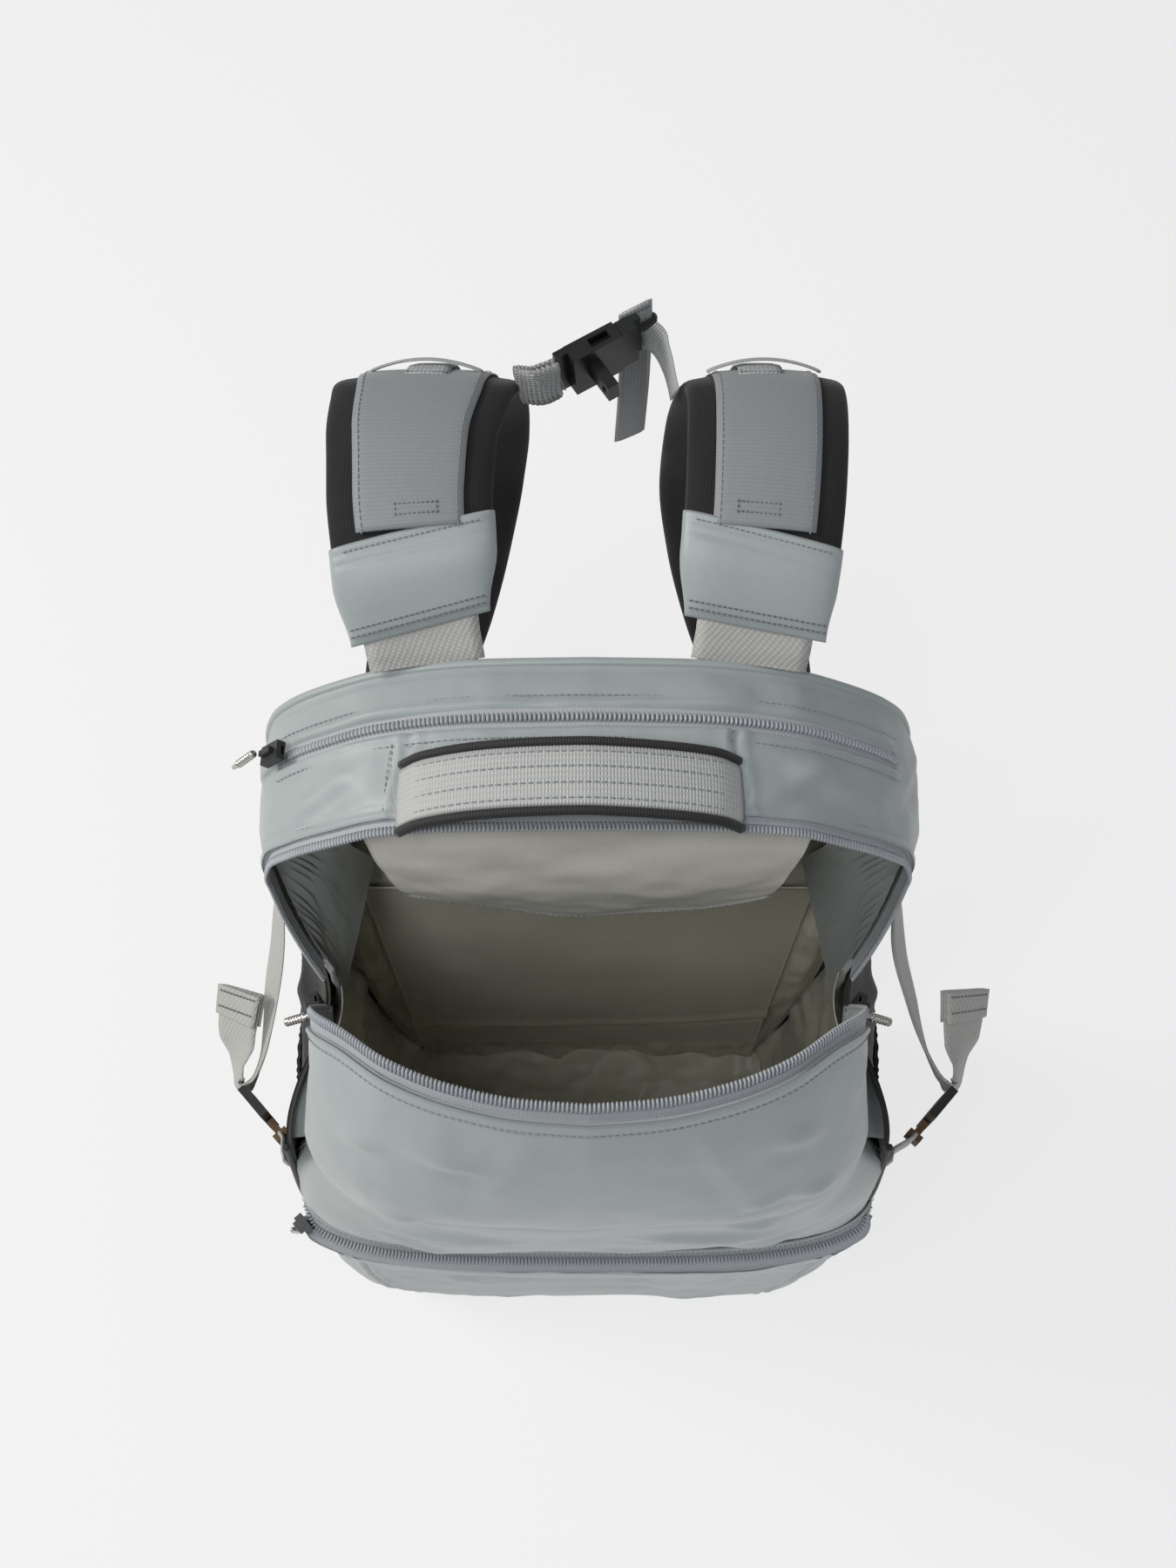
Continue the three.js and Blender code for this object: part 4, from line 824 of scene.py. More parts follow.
# ---------------------------------------------------------------- lining inside the main compartment
def build_lining():
    inside_up = np.array([0, 10, 250.0])
    # Front and sides of the lining bag, hanging a little slack inside the shell.
    c = np.linspace(-0.92, 0.92, 190)
    v = np.linspace(0, 1, 100)
    cc, vv = np.meshgrid(c, v, indexing="ij")
    level = mix(7, 332, vv)
    points = wall(cc, level, -7.5 - 7.5 * smooth((level - 190) / 50) * smooth((0.62 - np.abs(cc)) / 0.15))
    height = 7.0 * fractal(points, 60.0, 7.7) + 4.0 * fractal(points * [1, 1, 0.6], 22.0, 1.1)
    height = np.minimum(height, 2.5)
    points = points + unit(np.stack([points[..., 0], points[..., 1] - 20, points[..., 2] * 0], -1)) \
        * (height * smooth((1 - vv) / 0.05) * smooth(vv / 0.04))[..., None]
    panel("lining_front_and_sides", points, inside_up, 0.5, LINING, "pack_body")
    # Floor of the lining, rumpled where it meets the walls.
    u, w = np.meshgrid(np.linspace(-1, 1, 90), np.linspace(0, 1, 60), indexing="ij")
    front = front_mid(8) + 9
    x = u * (118 - 26 * smooth((0.25 - w) / 0.25) * np.abs(u) ** 3)
    y = mix(front, 66, w)
    rumple = fractal(np.stack([x, y * 1.6, x * 0], -1), 34.0, 4.0)
    z = 8.5 + 12.0 * (0.5 + 0.5 * rumple) * smooth((1 - np.abs(u)) / 0.1) + 7 * np.maximum(np.abs(u) - 0.86,
            0) / 0.14
    panel("lining_floor", np.stack([x, y, z], -1), (0, 0, -300), 0.5, LINING, "pack_body")
    # Loose lining over the rear wall, under the sleeve and beside it.
    half, z_top = arch_half(13)
    z = mix(9, z_top - 6, v)
    wide_at = np.maximum(half(z), 8)
    uu, zz = np.meshgrid(np.linspace(-1, 1, 150), z, indexing="ij")
    x = uu * wide_at[None, :]
    flat = np.stack([x, zz, x * 0], -1)
    slack = 5.5 * fractal(flat, 45.0, 5.5) + 4.0 * fractal(flat * [1, 0.6, 1], 18.0, 2.9)
    y = 65.8 - np.clip(3.0 + slack, 0, 10.0) * smooth((1 - np.abs(uu)) / 0.05)
    y = np.where((np.abs(x) < 112) & (zz > 48) & (zz < 334), np.maximum(y, 62.6), y)
    panel("lining_rear_wall", np.stack([x, y, zz], -1), (0, 400, 250), 0.5, LINING, "pack_body")
    # Sleeve sewn across the rear wall, tight at its top edge.
    u, v2 = np.meshgrid(np.linspace(-1, 1, 130), np.linspace(0, 1, 130), indexing="ij")
    z = mix(52, 330, v2)
    y = 60.5 - 5 * np.sin(np.pi * v2) * (1 - u * u)
    crease_z = 97 + 10 * u
    y = y + 3.2 * np.exp(-((z - crease_z) / 3.5) ** 2) - 1.8 * np.exp(-((z - crease_z - 9) / 6) ** 2)
    y = y - 1.6 * fractal(np.stack([u * 108, z, z * 0], -1), 75.0,
            9.9) * (1 - u * u) * smooth(v2 / 0.1) * smooth((1 - v2) / 0.1)
    y = y - 0.9 * np.exp(-((1 - v2) * 278 / 2.0) ** 2)
    points = np.stack([u * 108, y, z], -1)
    panel("sleeve", points, (0, 400, 200), 1.2, LINING, "pack_body", ("inner_sleeve",))
    # Facing strip that hangs from the rear half of the zip.
    u, v3 = np.meshgrid(np.linspace(-1, 1, 110), np.linspace(0, 1, 64), indexing="ij")
    x = u * mix(90, 74, v3)
    bow = 15 * np.sin(np.pi * v3 * 0.85) * (1 - 0.5 * u * u)
    z = mix(479 - 9 * u * u, 404 + 10 * u * u, v3)
    y = 34.5 - bow - 6 * v3
    flat = np.stack([x, z, z * 0], -1)
    y = y - 2.6 * fractal(flat * [0.5, 1, 1], 30.0,
            6.1) * smooth(v3 / 0.15) - 1.1 * np.exp(-((1 - v3) * 76 / 1.8) ** 2)
    points = np.stack([x, y, z], -1)
    # The apron uses the lighter copy of the lining: painted highlight where it faces the light.
    apron = panel("zip_apron", points, (0, 300, 440), 1.1, LINING_PAINTED_LIGHT, "pack_body", ("inner_apron",))
    hem_line = points[:, -4] + [0, -1.3, 0]
    stitches("apron_hem_stitches", hem_line, (0, -1, 0), "pack_body", mat=THREAD)
    # Gusset of thin cloth inside each leg of the zip, gathered on elastic.
    for side, sgn in (("left", -1), ("right", 1)):
        v4 = np.linspace(0, 1, 90)
        u4 = np.linspace(0, 1, 120)
        uu, vv = np.meshgrid(u4, v4, indexing="ij")
        top = sided(zip_line, 0.995 - 0.60 * uu)
        low_x = mix(121, 96, uu)
        low_y = mix(2, 58, uu)
        low_z = mix(292, 372, uu)
        x = mix(top[..., 0] - 3.0, low_x, vv ** 0.9)
        y = mix(top[..., 1] + 9.5, low_y, vv)
        z = mix(top[..., 2] - 3.0, low_z, vv)
        pleat = 1.3 * np.sin(uu * 84 + 2.2 * np.sin(uu * 17) + vv * 1.5) * np.exp(-((vv - 0.22) / 0.13) ** 2)
        pleat = pleat + 2.4 * fractal(np.stack([uu * 150, vv * 60, uu * 0], -1), 32.0,
                4.7) * np.sin(np.pi * vv)
        points = np.stack([sgn * (x - 2.0 * np.sin(np.pi * vv) - pleat), y, z], -1)
        panel(f"zip_gusset_{side}", points, (sgn * 400, 40, 360), 0.5, GUSSET, "pack_body")
    return apron


apron = build_lining()


# ---------------------------------------------------------------- zips
def coil(name, path, across, up, body, pitch=2.0, width=2.9, height=2.6, mat=None):
    """Nylon coil: one small turn for each pitch."""
    run = np.concatenate([[0], np.cumsum(np.linalg.norm(np.diff(path, axis=0), axis=1))])
    at = np.arange(pitch / 2, run[-1], pitch)
    def pick(rows):
        return np.stack([np.interp(at, run, rows[:, c]) for c in range(3)], 1)
    pts, w, n = pick(path), unit(pick(across)), unit(pick(up))
    t = unit(np.gradient(pts, axis=0))
    parts = [rounded_bead(p, a, b, c, pitch * 0.66, width, height) for p, a, b, c in zip(pts, t, w, n)]
    return many(name, parts, mat or COIL, body)


def tape_ribbon(name, path, across, up, lo, hi, mat, body, nodes=(), thick=1.0, drop=0.0):
    """Flat ribbon between two offsets across the path."""
    offs = np.linspace(lo, hi, 7)
    points = path[:, None, :] + across[:, None, :] * offs[None, :, None] + up[:, None, :] * drop
    return panel(name, points, path.mean(axis=0) - up.mean(axis=0) * 400, thick, mat, body, nodes)


def build_rear_zip():
    p = np.linspace(-0.985, 0.985, 260)
    q = sided(zip_line, p)
    back = unit(sided(arch_line, p) - q)
    up = outward(q)
    up = unit(up - back * np.sum(up * back, axis=1, keepdims=True))
    path = q - up * 0.9 + back * 1.4
    tape_ribbon("main_zip_rear_half", path, back, up, 0.4, 7.6, ZIP_TAPE, "pack_body",
            ("main_zip_rear_tape",), 1.0)
    coil("main_zip_rear_coil", path + up * 0.2 + back * 0.8, back, up, "pack_body", 1.6, 4.2, 1.9)
    line = path + back * 9.6 + up * 0.9
    stitches("main_zip_rear_stitches", line, up, "pack_body")
    for x0, x1 in ((-76.5, -71.5), (62, 58.5)):
        ys = np.linspace(34, 63, 24)
        xs = mix(x0, x1, (ys - 30) / 36)
        seam = np.array([shell(p_of_x(x), y, 0.5) for x, y in zip(xs, ys)])
        stitches("shoulder_seam_stitches", seam, outward(seam), "pack_body")


build_rear_zip()


def build_front_zip():
    s = np.linspace(-0.985, 0.985, 260)
    edge = flap(s, np.ones_like(s))
    d = unit(edge - flap(s, np.full_like(s, 0.97)))
    q = np.array([0, 40, 340.0]) - edge
    inn = unit(q - d * np.sum(q * d, axis=1, keepdims=True))
    up = -inn
    path = edge + inn * 0.7 - d * 1.4
    ribbon = tape_ribbon("main_zip_front_half", path, -d, up, 0.4, 7.8, ZIP_TAPE, None,
            ("main_zip_front_tape",), 1.0)
    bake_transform(ribbon)
    teeth = coil("main_zip_front_coil", path + up * 0.2 - d * 1.1, -d, up, None, 1.6, 5.0)
    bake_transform(teeth)
    # A row of stitches just behind the rolled edge of the flap.
    inner = slice(14, -14)
    line = front_points[inner, -4] + grid_normals(front_points, (0, 10, 300))[inner, -4] * 0.3
    row = stitches("flap_edge_stitches", line, grid_normals(front_points, (0, 10, 300))[inner, -4], None)
    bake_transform(row)


build_front_zip()


def build_laptop_zip():
    p = np.linspace(-0.475, 0.475, 190)
    q = shell(p, 70.0)
    up = outward(q)
    back = np.broadcast_to([0, 1.0, 0], q.shape)
    path = q - up * 1.6
    tape_ribbon("laptop_zip_ribbon", path, back, up, -4.6, 4.6, ZIP_TAPE, "pack_body", ("laptop_zip_tape",),
            0.8)
    coil("laptop_zip_coil", path + up * 1.0, back, up, "pack_body", 1.8, 4.0, 2.2)
    for gap in (-9.6, 9.6):
        line = shell(p, 70.0 + gap) + outward(shell(p, 70.0 + gap)) * 0.35
        stitches("laptop_zip_stitches", line, up, "pack_body")


build_laptop_zip()


def build_pocket_zip():
    c = np.linspace(-0.435, 0.435, 220)
    path = wall(c, pocket_zip_z(wall(c, 205)[:, 0]), 5.6 - 3.2 * smooth((np.abs(c) - 0.34) / 0.08))
    t = unit(np.gradient(path, axis=0))
    up = unit(np.cross(t, [0, 0, 1.0]))
    up = unit(np.where(up[:, 1:2] > 0, -up, up) + np.outer(0.95 - 0.7 * smooth((np.abs(c) - 0.34) / 0.08),
            [0, 0, 1]))
    high = np.cross(up, t)
    high = high * np.sign(high[:, 2:3])
    tape_ribbon("pocket_zip_ribbon", path, high, up, -7.4, 7.4, ZIP_TAPE, "pack_body", ("pocket_zip_tape",),
            1.0)
    coil("pocket_zip_coil", path + up * 0.7, high, up, "pack_body", 1.8, 5.6, 2.4)
    line = wall(c, pocket_zip_z(wall(c, 205)[:, 0]) + 10.6, 2.6)
    stitches("pocket_zip_stitches", line, up, "pack_body")


build_pocket_zip()


# ---------------------------------------------------------------- grab handle
def handle_path(dy, lift=0.0, count=90):
    t = np.linspace(0, 1, count)
    x = mix(HANDLE_X0, HANDLE_X1, t)
    rise = 3.2 + 10 * np.minimum(1, np.sin(np.pi * t) ** 0.7)
    top = np.array([shell(p_of_x(a if abs(a) > 0.5 else 0.5), HANDLE_Y + dy)[2] for a in x])
    ends = 2.6 * np.exp(-(np.minimum(t, 1 - t) * 128 / 5) ** 2)
    return np.stack([x, np.full(count, HANDLE_Y + dy), top + rise - ends + lift], 1)


def build_handle():
    body = band("grab_handle_face", handle_path(0), web_section(HANDLE_W + 0.6, 2.2, 0.5, 10), (0, 1, 0),
            HANDLE_WEB, "handle",
                ("grab_handle_webbing",))
    for dy in (-9.4, -3.3, 3.3, 9.4):
        line = handle_path(dy, 1.35)
        line[:, 2] = handle_path(0)[:, 2] + 1.25 + 0.5 * (1 - (dy / 12) ** 2)
        stitches("grab_handle_stitches", line[2:-2], (0, 0, 1), "handle", 3.0, 0.7, THREAD)
    for name, dy in (("rear", 13.9), ("front", -13.9)):
        line = handle_path(0)
        line[:, 1] += dy
        band(f"grab_handle_edge_{name}", line, pad_section(3.6, 3.9, 12, 0.8), (0, 1, 0), BINDING, "handle",
             (f"grab_handle_binding_{name}",))


build_handle()


# ---------------------------------------------------------------- shoulder straps
STRAP_KEYS = [0, 0.05, 0.1, 0.17, 0.24, 0.31, 0.38, 0.46, 0.55, 0.64, 0.73, 0.82, 0.91, 1]
# Sit of each strap: how far out each point of it lies, and how wide it swells over the chest.
SIT = {"left": ([65.5, 67, 68, 69.5, 69.5, 67.5, 66, 65, 65, 67, 73, 83, 97, 108],
    [62, 66, 76, 78, 68, 60, 50]),
       "right": ([65.5, 66, 67.5, 69.5, 71, 72, 72, 71, 69, 68, 73, 83, 97, 108],
       [60, 63, 65, 68, 66, 60, 50])}
CLIMB = [(107, 490), (120, 499), (134, 507.5), (155, 515), (178, 518.5), (200, 515), (217, 501), (230, 478),
    (239, 446),
         (244, 402), (242, 352), (235, 300), (223, 250), (210, 208)]


def strap_axis(side, k):
    line = curve(STRAP_KEYS, [[x, y, z] for x, (y, z) in zip(SIT[side][0], CLIMB)])(k)
    return mirror(line, -1 if side == "left" else 1)


def strap_width(side, k):
    return table([0, 0.2, 0.38, 0.5, 0.7, 0.9, 1], SIT[side][1])(k)


def strap_frame(side, k):
    ahead, behind = strap_axis(side, np.clip(k + 0.01, 0, 1)), strap_axis(side, np.clip(k - 0.01, 0, 1))
    t = unit(ahead - behind)
    w = unit(np.array([1.0, 0, 0]) - t * t[..., :1])
    n = np.cross(t, w)
    n = n * np.sign(0.6 * n[..., 1:2] + 0.8 * n[..., 2:3])
    return strap_axis(side, k), t, w, n


def strap_strip(name, side, k, rise, width, thick, mat, nodes, dx=0.0, crown=0.0, steps=8):
    p, t, w, n = strap_frame(side, k)
    path = p + n * np.asarray(rise)[..., None] + w * dx
    sgn = 1 if np.dot(np.cross(t[0], w[0]), n[0]) > 0 else -1
    rows = len(k)

    def section(f):
        i = min(rows - 1, int(round(f * (rows - 1))))
        wide = width[i] if hasattr(width, "__len__") else width
        return [(a, sgn * b) for a, b in web_section(wide, thick, crown, steps)]
    return band(name, path, section, (1, 0, 0), mat, f"{side}_strap", nodes)


def build_strap(side, sgn):
    body = f"{side}_strap"
    # Foam in its knitted cover.
    k = np.linspace(0.07, 1, 134)
    p, t, w, n = strap_frame(side, k)
    ring = 36
    a = (np.arange(ring) + 0.5) / ring * 2 * np.pi
    verts, uvs = [], []
    run = np.concatenate([[0], np.cumsum(np.linalg.norm(np.diff(p, axis=0), axis=1))])
    for i in range(len(k)):
        wide = float(strap_width(side, k[i]))
        end = min(1.0, (1 - k[i]) * 460 / 7 + 0.25)
        squash = math.sqrt(max(0.12, 1 - (1 - min(end, 1)) ** 2)) * (0.8 + 0.2
                * float(smooth((k[i] - 0.08) / 0.05)))
        c, s = np.cos(a), np.sin(a)
        x = wide / 2 * np.sign(c) * np.abs(c) ** 0.42
        z = STRAP_T / 2 * np.sign(s) * np.abs(s) ** 0.75 * squash
        z = z + 0.35 * np.sign(s) * np.sin(k[i] * 46) * np.abs(s) * (np.abs(c) > 0.5)
        verts.append(p[i] + w[i] * x[:, None] + n[i] * z[:, None])
        uvs.append(np.stack([np.cumsum(np.full(ring, wide * 2 / ring)), np.full(ring, run[i])], 1))
    faces = []
    for i in range(len(k) - 1):
        for j in range(ring):
            b = (j + 1) % ring
            faces.append((i * ring + j, i * ring + b, (i + 1) * ring + b, (i + 1) * ring + j))
    faces.append(tuple(range(ring))[::-1])
    faces.append(tuple((len(k) - 1) * ring + j for j in range(ring)))
    if np.dot(np.cross(w[0], n[0]), t[0]) < 0:
        faces = [f[::-1] for f in faces]
    foam = finish_mesh(f"strap_pad_{side}", np.concatenate(verts), faces, np.concatenate(uvs), KNIT, body,
                       (f"strap_foam_{side}",))

    # Ribbed facing, its edges drawn down into the knit.
    k = np.linspace(0.118, 0.94, 120)
    wide = strap_width(side, k) - 22
    strap_strip(f"strap_face_{side}", side, k, np.full(120, STRAP_T / 2 + 0.7), wide, 1.5, RIBBED,
                (f"strap_facing_{side}",), crown=1.3, steps=14)
    for edge in (-1, 1):
        p, t, w, n = strap_frame(side, k[:-2])
        line = p + n * (STRAP_T / 2 + 1.9) + w * (edge * (wide[:-2] / 2 - 2.4))[:, None]
        stitches(f"strap_face_stitches_{side}", line, n, body, 2.8, 0.5, THREAD)
    # Small bar-tacked box on the facing, just above the cap.
    inward = 3.0 if side == "left" else -3.0
    for kk in (0.134, 0.146):
        p, t, w, n = strap_frame(side, np.array([kk]))
        across = np.linspace(-8, 8, 12) + inward
        stitches(f"strap_box_{side}", p + n * (STRAP_T / 2 + 2.6) + w * across[:, None], n[0], body, 1.7, 0.8,
                 THREAD_DARK)
    for off in (inward - 8, inward + 8):
        p, t, w, n = strap_frame(side, np.linspace(0.134, 0.146, 5))
        stitches(f"strap_box_{side}", p + n * (STRAP_T / 2 + 2.6) + w * off, n, body, 1.7, 0.8, THREAD_DARK)

    # Coated cap over the top of the pad.
    k = np.linspace(0, 0.118, 34)
    p, t, w, n = strap_frame(side, k)
    verts, uvs = [], []
    for i in range(len(k)):
        f = k[i] / 0.118
        wide = mix(56, float(strap_width(side, k[i])) + 1.6, float(smooth(f * 1.6)))
        thick = mix(6.5, STRAP_T + 3.2, float(smooth(f * 1.5)))
        closed = math.sqrt(min(1.0, 0.15 + f * 7))
        hems = 1 - 0.10 * math.exp(-((f - 0.80) / 0.03) ** 2) - 0.10 * math.exp(-((f - 0.90) / 0.03) ** 2)
        c, s = np.cos(a), np.sin(a)
        x = wide / 2 * np.sign(c) * np.abs(c) ** 0.45
        z = thick / 2 * closed * hems * np.sign(s) * np.abs(s) ** 0.7
        skew = -0.16 * x * (1 if np.dot(w[i], [sgn, 0, 0]) > 0 else -1)
        verts.append(p[i] + w[i] * x[:, None] + n[i] * z[:, None] + t[i] * skew[:, None])
        uvs.append(np.stack([x, np.full(ring, f * 54)], 1))
    last = len(verts) - 1
    lip = verts[last] - t[last] * 1.6 - (verts[last] - p[last]) * 0.10
    verts.append(lip)
    uvs.append(uvs[-1])
    rows = len(verts)
    faces = [(i * ring + j, i * ring + (j + 1) % ring, (i + 1) * ring + (j + 1) % ring, (i + 1) * ring + j)
             for i in range(rows - 1) for j in range(ring)]
    faces += [tuple(range(ring))[::-1], tuple((rows - 1) * ring + j for j in range(ring))]
    if np.dot(np.cross(w[0], n[0]), t[0]) < 0:
        faces = [f[::-1] for f in faces]
    finish_mesh(f"strap_cap_{side}_cloth", np.concatenate(verts), faces, np.concatenate(uvs), COATED, body,
                (f"strap_cap_{side}",))
    for kk, thread in ((0.012, THREAD_DARK), (0.021, THREAD_DARK), (0.109, THREAD)):
        p1, t1, w1, n1 = strap_frame(side, np.array([kk]))
        across = np.linspace(-26, 26, 40)
        line = p1 + n1 * (STRAP_T / 2 + 1.35) + w1 * across[:, None]
        line = line - n1 * (0.9 * (np.abs(across) / 28) ** 4)[:, None]
        line = line - t1 * (0.16 * across * (1 if np.dot(w1[0], [sgn, 0, 0]) > 0 else -1))[:, None]
        stitches(f"strap_cap_stitches_{side}", line, n1[0], body, 2.2, 0.7, thread)

    # Webbing from the back edge up into the cap.
    anchor = curve([0, 0.3, 0.6, 1], [[63.3, 96.4, 480.5], [64, 99.6, 484.2], [65, 104.2, 488.1],
                                      [66.2, 113, 494.4]])(np.linspace(0, 1, 40))
    band(f"strap_anchor_{side}", mirror(anchor, sgn), web_section(ANCHOR_W, 1.9, 0.8, 10), (1, 0, 0), TWILL,
            body,
         (f"strap_anchor_webbing_{side}",))

    # Daisy webbing, tacked down at its ends and once between.
    k = np.linspace(0.33, 0.69, 90)
    f = (k - 0.33) / 0.36
    rise = STRAP_T / 2 + 2.2 + 2.4 * np.abs(np.sin(np.pi * f * 2)) ** 0.7 * np.where(f < 0.5, 1.0, 0.6)
    strap_strip(f"daisy_{side}", side, k, rise, 18.0, 1.4, NARROW_WEB, (f"daisy_webbing_{side}",),
                dx=-2.0 * sgn if side == "right" else 2.0, crown=0.3, steps=6)
    for kk in (0.335, 0.51, 0.685):
        p1, t1, w1, n1 = strap_frame(side, np.array([kk]))
        across = np.linspace(-8, 8, 9) + (2.0 if side == "left" else -2.0)
        for ahead in (-1.2, 1.2):
            line = p1 + n1 * (STRAP_T / 2 + 3.2) + w1 * across[:, None] + t1 * ahead
            stitches(f"daisy_tack_{side}", line, n1[0], body, 1.5, 0.9, THREAD_DARK)

    # Thin keeper loop that bows across the crest of the pad.
    p1, t1, w1, n1 = (v[0] for v in strap_frame(side, np.array([0.36])))
    across = np.linspace(-23, 23, 40)
    bow = p1 + w1 * across[:, None] + n1 * (STRAP_T / 2 + 1.6 + 5.0
            * np.cos(across / 23 * np.pi / 2) ** 0.8)[:, None]
    band(f"crest_loop_{side}", bow, web_section(7.0, 1.2, 0.2, 4), t1, NARROW_WEB, body)

    # Webbing from the foot of the pad down to the bottom corner.
    foot, tf, wf, nf = (v[0] for v in strap_frame(side, np.array([1.0])))
    lock = foot + tf * 13.5
    low = curve([0, 0.35, 0.7, 1], [lock + tf * 13.0, mirror([122, 168, 120], sgn),
            mirror([127, 132, 62], sgn),
                                    mirror([126, 98.5, 24], sgn)])(np.linspace(0, 1, 110))
    strip = band(f"lower_strap_webbing_{side}", low, web_section(25.0, 1.8, 0.3, 6), (1, 0, 0), TWILL, None,
                 (f"lower_webbing_{side}",))
    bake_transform(strip)
    # Loop of webbing that holds the ladder lock to the pad.
    loop = np.stack([foot - tf * 6 + nf * 1.0, foot + tf * 4 + nf * 1.6, foot + tf * 9.0 + nf * 1.2,
            foot + tf * 10.6,
                     foot + tf * 9.0 - nf * 1.4, foot + tf * 2 - nf * 2.0])
    band(f"lock_loop_{side}", resample(loop, 1.2), web_section(26.0, 1.3, 0.0, 6), (1, 0, 0), TWILL, body)


for side, sgn in (("left", -1), ("right", 1)):
    build_strap(side, sgn)


# ---------------------------------------------------------------- side compression straps
def build_compression(side, sgn):
    stand = 9 if side == "right" else 0
    k = np.linspace(0, 1, 170)
    path = curve([0, 0.12, 0.24, 0.36, 0.46, 0.54, 0.58, 0.61, 0.66, 0.78, 0.9, 1], [
        [148.5, 84, 322], [149, 62, 321.5], [147.5, 34, 321], [148 + stand / 3, 8, 320],
        [150 + stand * 0.7, -12, 315],
        [155.5 + stand, -26.5, 308.5], [159.6 + stand, -29.6, 307.5], [162.2 + stand, -27, 308.5],
        [163 + stand * 1.1, -18, 312], [163 + stand * 1.2, -8, 318], [161.5 + stand * 1.4, 2, 324.5],
        [160 + stand * 1.6, 10, 329]])(k)
    lean = table([0, 0.1, 0.3, 0.5, 0.6, 0.75, 1], [0.05, 0.25, 0.5, 0.3, 0.3, 0.8, 1.05])
    first = np.array([[143.0, 93.5, 322.2], [145.6, 90, 322.1]])
    path = np.concatenate([first, path])
    tip = lean(np.concatenate([[0, 0], k]))
    hint = mirror(np.stack([-np.sin(tip), 0 * tip, np.cos(tip)], 1), sgn)
    path = mirror(path, sgn)
    band(f"compression_strap_{side}", path, web_section(SIDE_WEB_W, 1.8, 0.25, 8), hint, TWILL, "pack_body",
         (f"compression_webbing_{side}",))
    # The free end turned back on itself and stitched down.
    t, w, n = frames_along(path, hint)
    last = slice(-26, None)
    for face in (2.0, -2.0):
        band(f"compression_fold_{side}", path[last] + n[last] * face * 0.95,
                web_section(SIDE_WEB_W + 0.4, 1.7, 0.2, 8),
             hint[last], TWILL, "pack_body")
    for back in (-5, -18):
        across = np.linspace(-10, 10, 12)
        for sign in (3.0, -3.0):
            line = path[back] + w[back] * across[:, None] + n[back] * sign
            stitches(f"compression_fold_stitches_{side}", line, n[back] * np.sign(sign), "pack_body", 2.0,
                    0.8,
                     THREAD_DARK)
    direction = unit(mirror([-0.68, -0.73, -0.02], sgn))
    origin = mirror([152.8 + stand, -38.6 - stand * 0.08, 303.5], sgn)
    tab = np.stack([origin + direction * 17.5, origin + direction * 20.2, wall(sgn * 0.462, 302.5, 3.0),
                    wall(sgn * 0.44, 302.2, 2.6)])
    tab = resample(tab, 1.2)
    band(f"anchor_tab_{side}", tab, web_section(20.0, 2.0, 0.2, 6), (0, 0, 1), TWILL, "pack_body",
         (f"compression_anchor_tab_{side}",))


for side, sgn in (("left", -1), ("right", 1)):
    build_compression(side, sgn)


# ---------------------------------------------------------------- sternum strap
def build_sternum():
    d = unit(np.array([35, 21, 3.0]))
    female = np.array([2.5, 222, 513.0])
    path = curve([0, 0.25, 0.5, 0.75, 1], [[-29.0, 213.8, 507.5], [-25, 212.4, 508.2], [-20.5, 211.3, 509.3],
                                           [-16, 212, 510.8], [-11.5, 213.8, 512.0]])(np.linspace(0, 1, 120))
    f = np.linspace(0, 1, 120)
    path = path + np.array([0.2, -1, 0.15]) * (1.1 * np.sin(f * 62) * smooth(f / 0.1)
            * smooth((1 - f) / 0.1))[:, None]

    def section(share):
        return web_section(18.5 + 0.8 * math.sin(share * 62 + 1), 2.4, 0.0, 6)
    band("sternum_elastic_gathered", path, section, (0, 0, 1), ELASTIC, "left_strap", ("sternum_elastic",))
    male = female + d * 24.2
    path = curve([0, 0.3, 0.6, 1], [male + d * 1.2, [29.5, 231, 511], [33, 224, 507],
            [36, 213, 501.5]])(np.linspace(0, 1, 60))
    strip = band("sternum_strap_right", path, web_section(19.0, 1.6, 0.2, 6), (0, 0, 1), NARROW_WEB, None,
                 ("sternum_webbing",))
    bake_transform(strip)
    tail = curve([0, 0.25, 0.5, 1], [[19.5, 243, 520], [20.3, 243.5, 500], [20.2, 242.5, 478],
                                     [19, 239, 442]])(np.linspace(0, 1, 70))
    band("sternum_tail_end", tail, web_section(16.0, 1.6, 0.2, 6), (35, 21, 0), NARROW_WEB, "right_strap",
         ("sternum_tail",))
    out = unit(np.cross([35, 21, 0.0], [0, 0, 1.0]))
    keeper = [np.array([20.2, 243.4, 507.5]) + unit(np.array([35, 21, 0.0])) * a + out * b for a, b in
              ((-9.4, 1.3), (9.4, 1.3), (9.4, -1.3), (-9.4, -1.3), (-9.4, 1.3))]
    band("sternum_keeper", resample(np.array(keeper), 1.4), web_section(6.0, 1.1, 0.0, 4), (0, 0, 1), BINDING,
         "right_strap")
    for drop in (2.0, 8.5):
        across = np.linspace(-6, 6, 8)
        line = tail[0] - [0, 0, drop] + unit(np.array([35, 21, 0.0])) * across[:, None] + out * 1.0
        stitches("sternum_tail_stitches", line, out, "right_strap", 1.8, 0.7, THREAD_DARK)


build_sternum()


# ---------------------------------------------------------------- moulded and metal parts carried over
def dress(name, mat, radius):
    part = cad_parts[name]
    part.data.materials.clear()
    part.data.materials.append(mat)
    edge = part.modifiers.new("edges", "BEVEL")
    edge.width = radius / 1000
    edge.segments = 3
    edge.limit_method = "ANGLE"
    edge.angle_limit = math.radians(35)
    edge.harden_normals = False
    for face in part.data.polygons:
        face.use_smooth = False


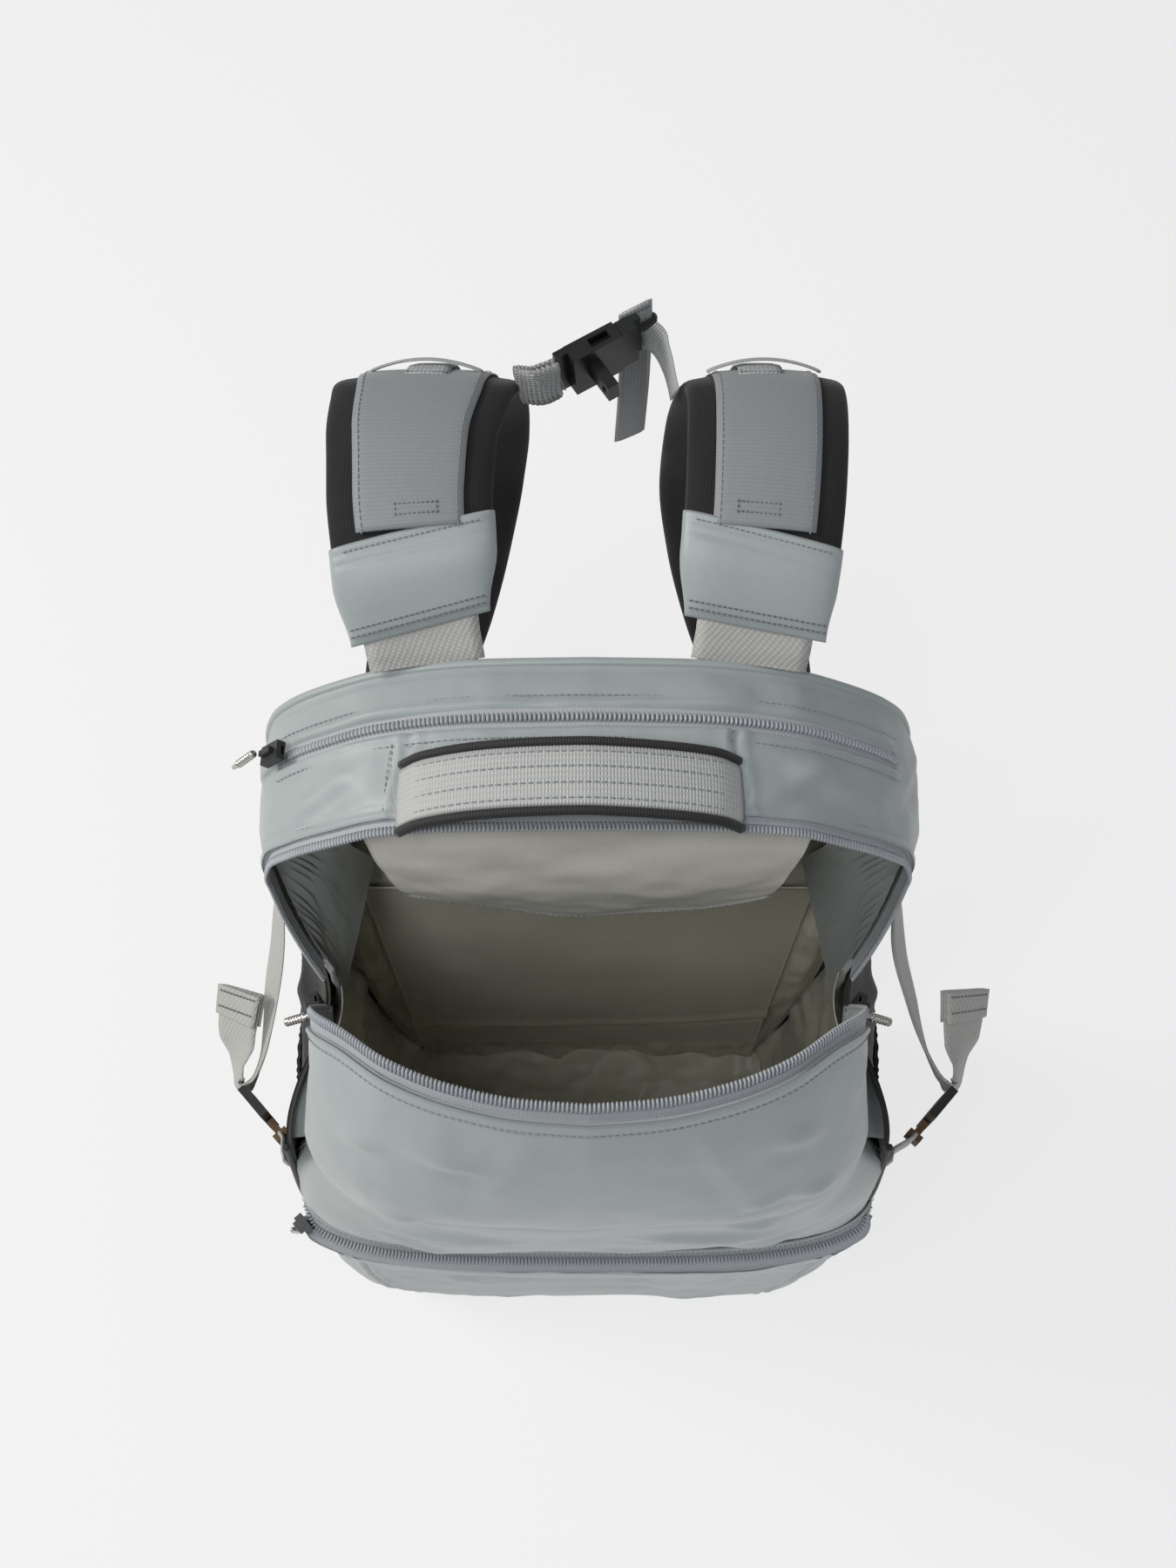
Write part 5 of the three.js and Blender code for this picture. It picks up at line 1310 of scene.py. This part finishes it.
for side in ("left", "right"):
    dress(f"strap_ladder_lock_{side}", ACETAL, 0.8)
    dress(f"compression_buckle_{side}", ACETAL, 0.8)
    dress(f"compression_hook_{side}", BRASS, 0.7)
    dress(f"main_slider_{side}", ZINC, 0.9)
dress("laptop_slider", ZINC, 0.8)
dress("pocket_slider", ZINC, 0.8)
dress("sternum_buckle_female", ACETAL, 1.0)
dress("sternum_buckle_male", ACETAL, 0.7)
dress("frame_sheet", ACETAL, 0.3)


def ribbed_pull(name, start, end, radius, body, node_name):
    """Turned metal pull with a ring at the slider end and ribs along the grip."""
    start, end = np.asarray(start, float), np.asarray(end, float)
    length = np.linalg.norm(end - start)
    t = (end - start) / length
    a = unit(np.cross(t, [0.1, 0.3, 1.0]))
    b = np.cross(t, a)
    profile = [(0, 0.25), (0.02, 0.55), (0.10, 0.62), (0.16, 0.5), (0.22, 0.9)]
    for i in range(6):
        f = 0.27 + i * 0.105
        profile += [(f, 1.0), (f + 0.045, 1.0), (f + 0.06, 0.8), (f + 0.085, 0.8)]
    profile += [(0.93, 1.0), (0.975, 0.9), (1.0, 0.55)]
    n = 26
    ang = np.arange(n) / n * 2 * np.pi
    verts, faces = [], []
    for f, r in profile:
        for g in ang:
            verts.append(start + t * f * length + (a * math.cos(g) + b * math.sin(g)) * radius * r)
    for i in range(len(profile) - 1):
        faces += [(i * n + j, i * n + (j + 1) % n, (i + 1) * n + (j + 1) % n,
                (i + 1) * n + j) for j in range(n)]
    faces += [tuple(range(n))[::-1], tuple((len(profile) - 1) * n + j for j in range(n))]
    verts = np.array(verts)
    finish_mesh(name, verts, faces, verts[:, :2], NICKEL, body, (node_name,))


def pull_line(node_name, hint):
    """Ends of a pull, read from its CAD box along the given direction."""
    points = np.array([v.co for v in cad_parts[node_name].data.vertices]) * 1000
    middle = points.mean(axis=0)
    _, _, axes = np.linalg.svd(points - middle)
    t = axes[0] * np.sign(np.dot(axes[0], hint))
    reach = (points - middle) @ t
    return middle + t * reach.min(), middle + t * reach.max()


for side, sgn in (("left", -1), ("right", 1)):
    a, b = pull_line(f"main_pull_{side}", (sgn, 0, -0.3))
    ribbed_pull(f"main_zip_pull_{side}", a, b, 2.1, f"{side}_pull", f"main_pull_{side}")
a, b = pull_line("laptop_pull", (0.5, 0, 1.0))
ribbed_pull("laptop_zip_pull", a, b, 1.7, "laptop_pull_body", "laptop_pull")
a, b = pull_line("pocket_pull", (0, 0, -1))
ribbed_pull("pocket_zip_pull", a, b, 1.7, "pocket_pull_body", "pocket_pull")


# ---------------------------------------------------------------- floor, light and camera
def build_floor():
    mat, tree, shader = blank("seamless_paper", Roughness=0.9)
    shader.inputs["Base Color"].default_value = srgb("6c6c6c")
    shader.inputs["Emission Color"].default_value = srgb("ffffff")
    shader.inputs["Emission Strength"].default_value = 0.74
    bpy.ops.mesh.primitive_plane_add(size=8, location=(0, 0, -0.0005))
    floor = bpy.context.object
    floor.name = "paper_floor"
    floor.data.materials.append(mat)


def area_light(name, place, aim, size, power, tint="ffffff"):
    light = bpy.data.lights.new(name, "AREA")
    light.shape = "DISK"
    light.size = size
    light.energy = power
    light.color = srgb(tint)[:3]
    lamp = bpy.data.objects.new(name, light)
    bpy.context.scene.collection.objects.link(lamp)
    lamp.location = place
    lamp.rotation_euler = (Vector(aim) - Vector(place)).to_track_quat("-Z", "Y").to_euler()


def build_stage():
    build_floor()
    world = bpy.data.worlds.new("soft_room")
    bpy.context.scene.world = world
    world.use_nodes = True
    sky = world.node_tree.nodes["Background"]
    sky.inputs["Color"].default_value = srgb("eef1f4")
    sky.inputs["Strength"].default_value = 0.33
    area_light("key_upper_left", (-1.9, 0.35, 1.75), (0, 0.05, 0.3), 0.9, 34, "fffaf4")
    area_light("top_front", (-0.35, -0.45, 1.65), (0, 0.05, 0.2), 0.6, 8, "fdfdff")
    camera = bpy.data.cameras.new("camera")
    camera.lens = 34.0
    camera.sensor_fit = "VERTICAL"
    camera.sensor_height = 36.0
    eye = bpy.data.objects.new("camera", camera)
    bpy.context.scene.collection.objects.link(eye)
    eye.location = (0.0, -0.193, 0.990)
    eye.rotation_euler = (math.radians(25), 0, 0)
    bpy.context.scene.camera = eye
    bpy.context.scene.view_settings.view_transform = "Standard"


build_stage()
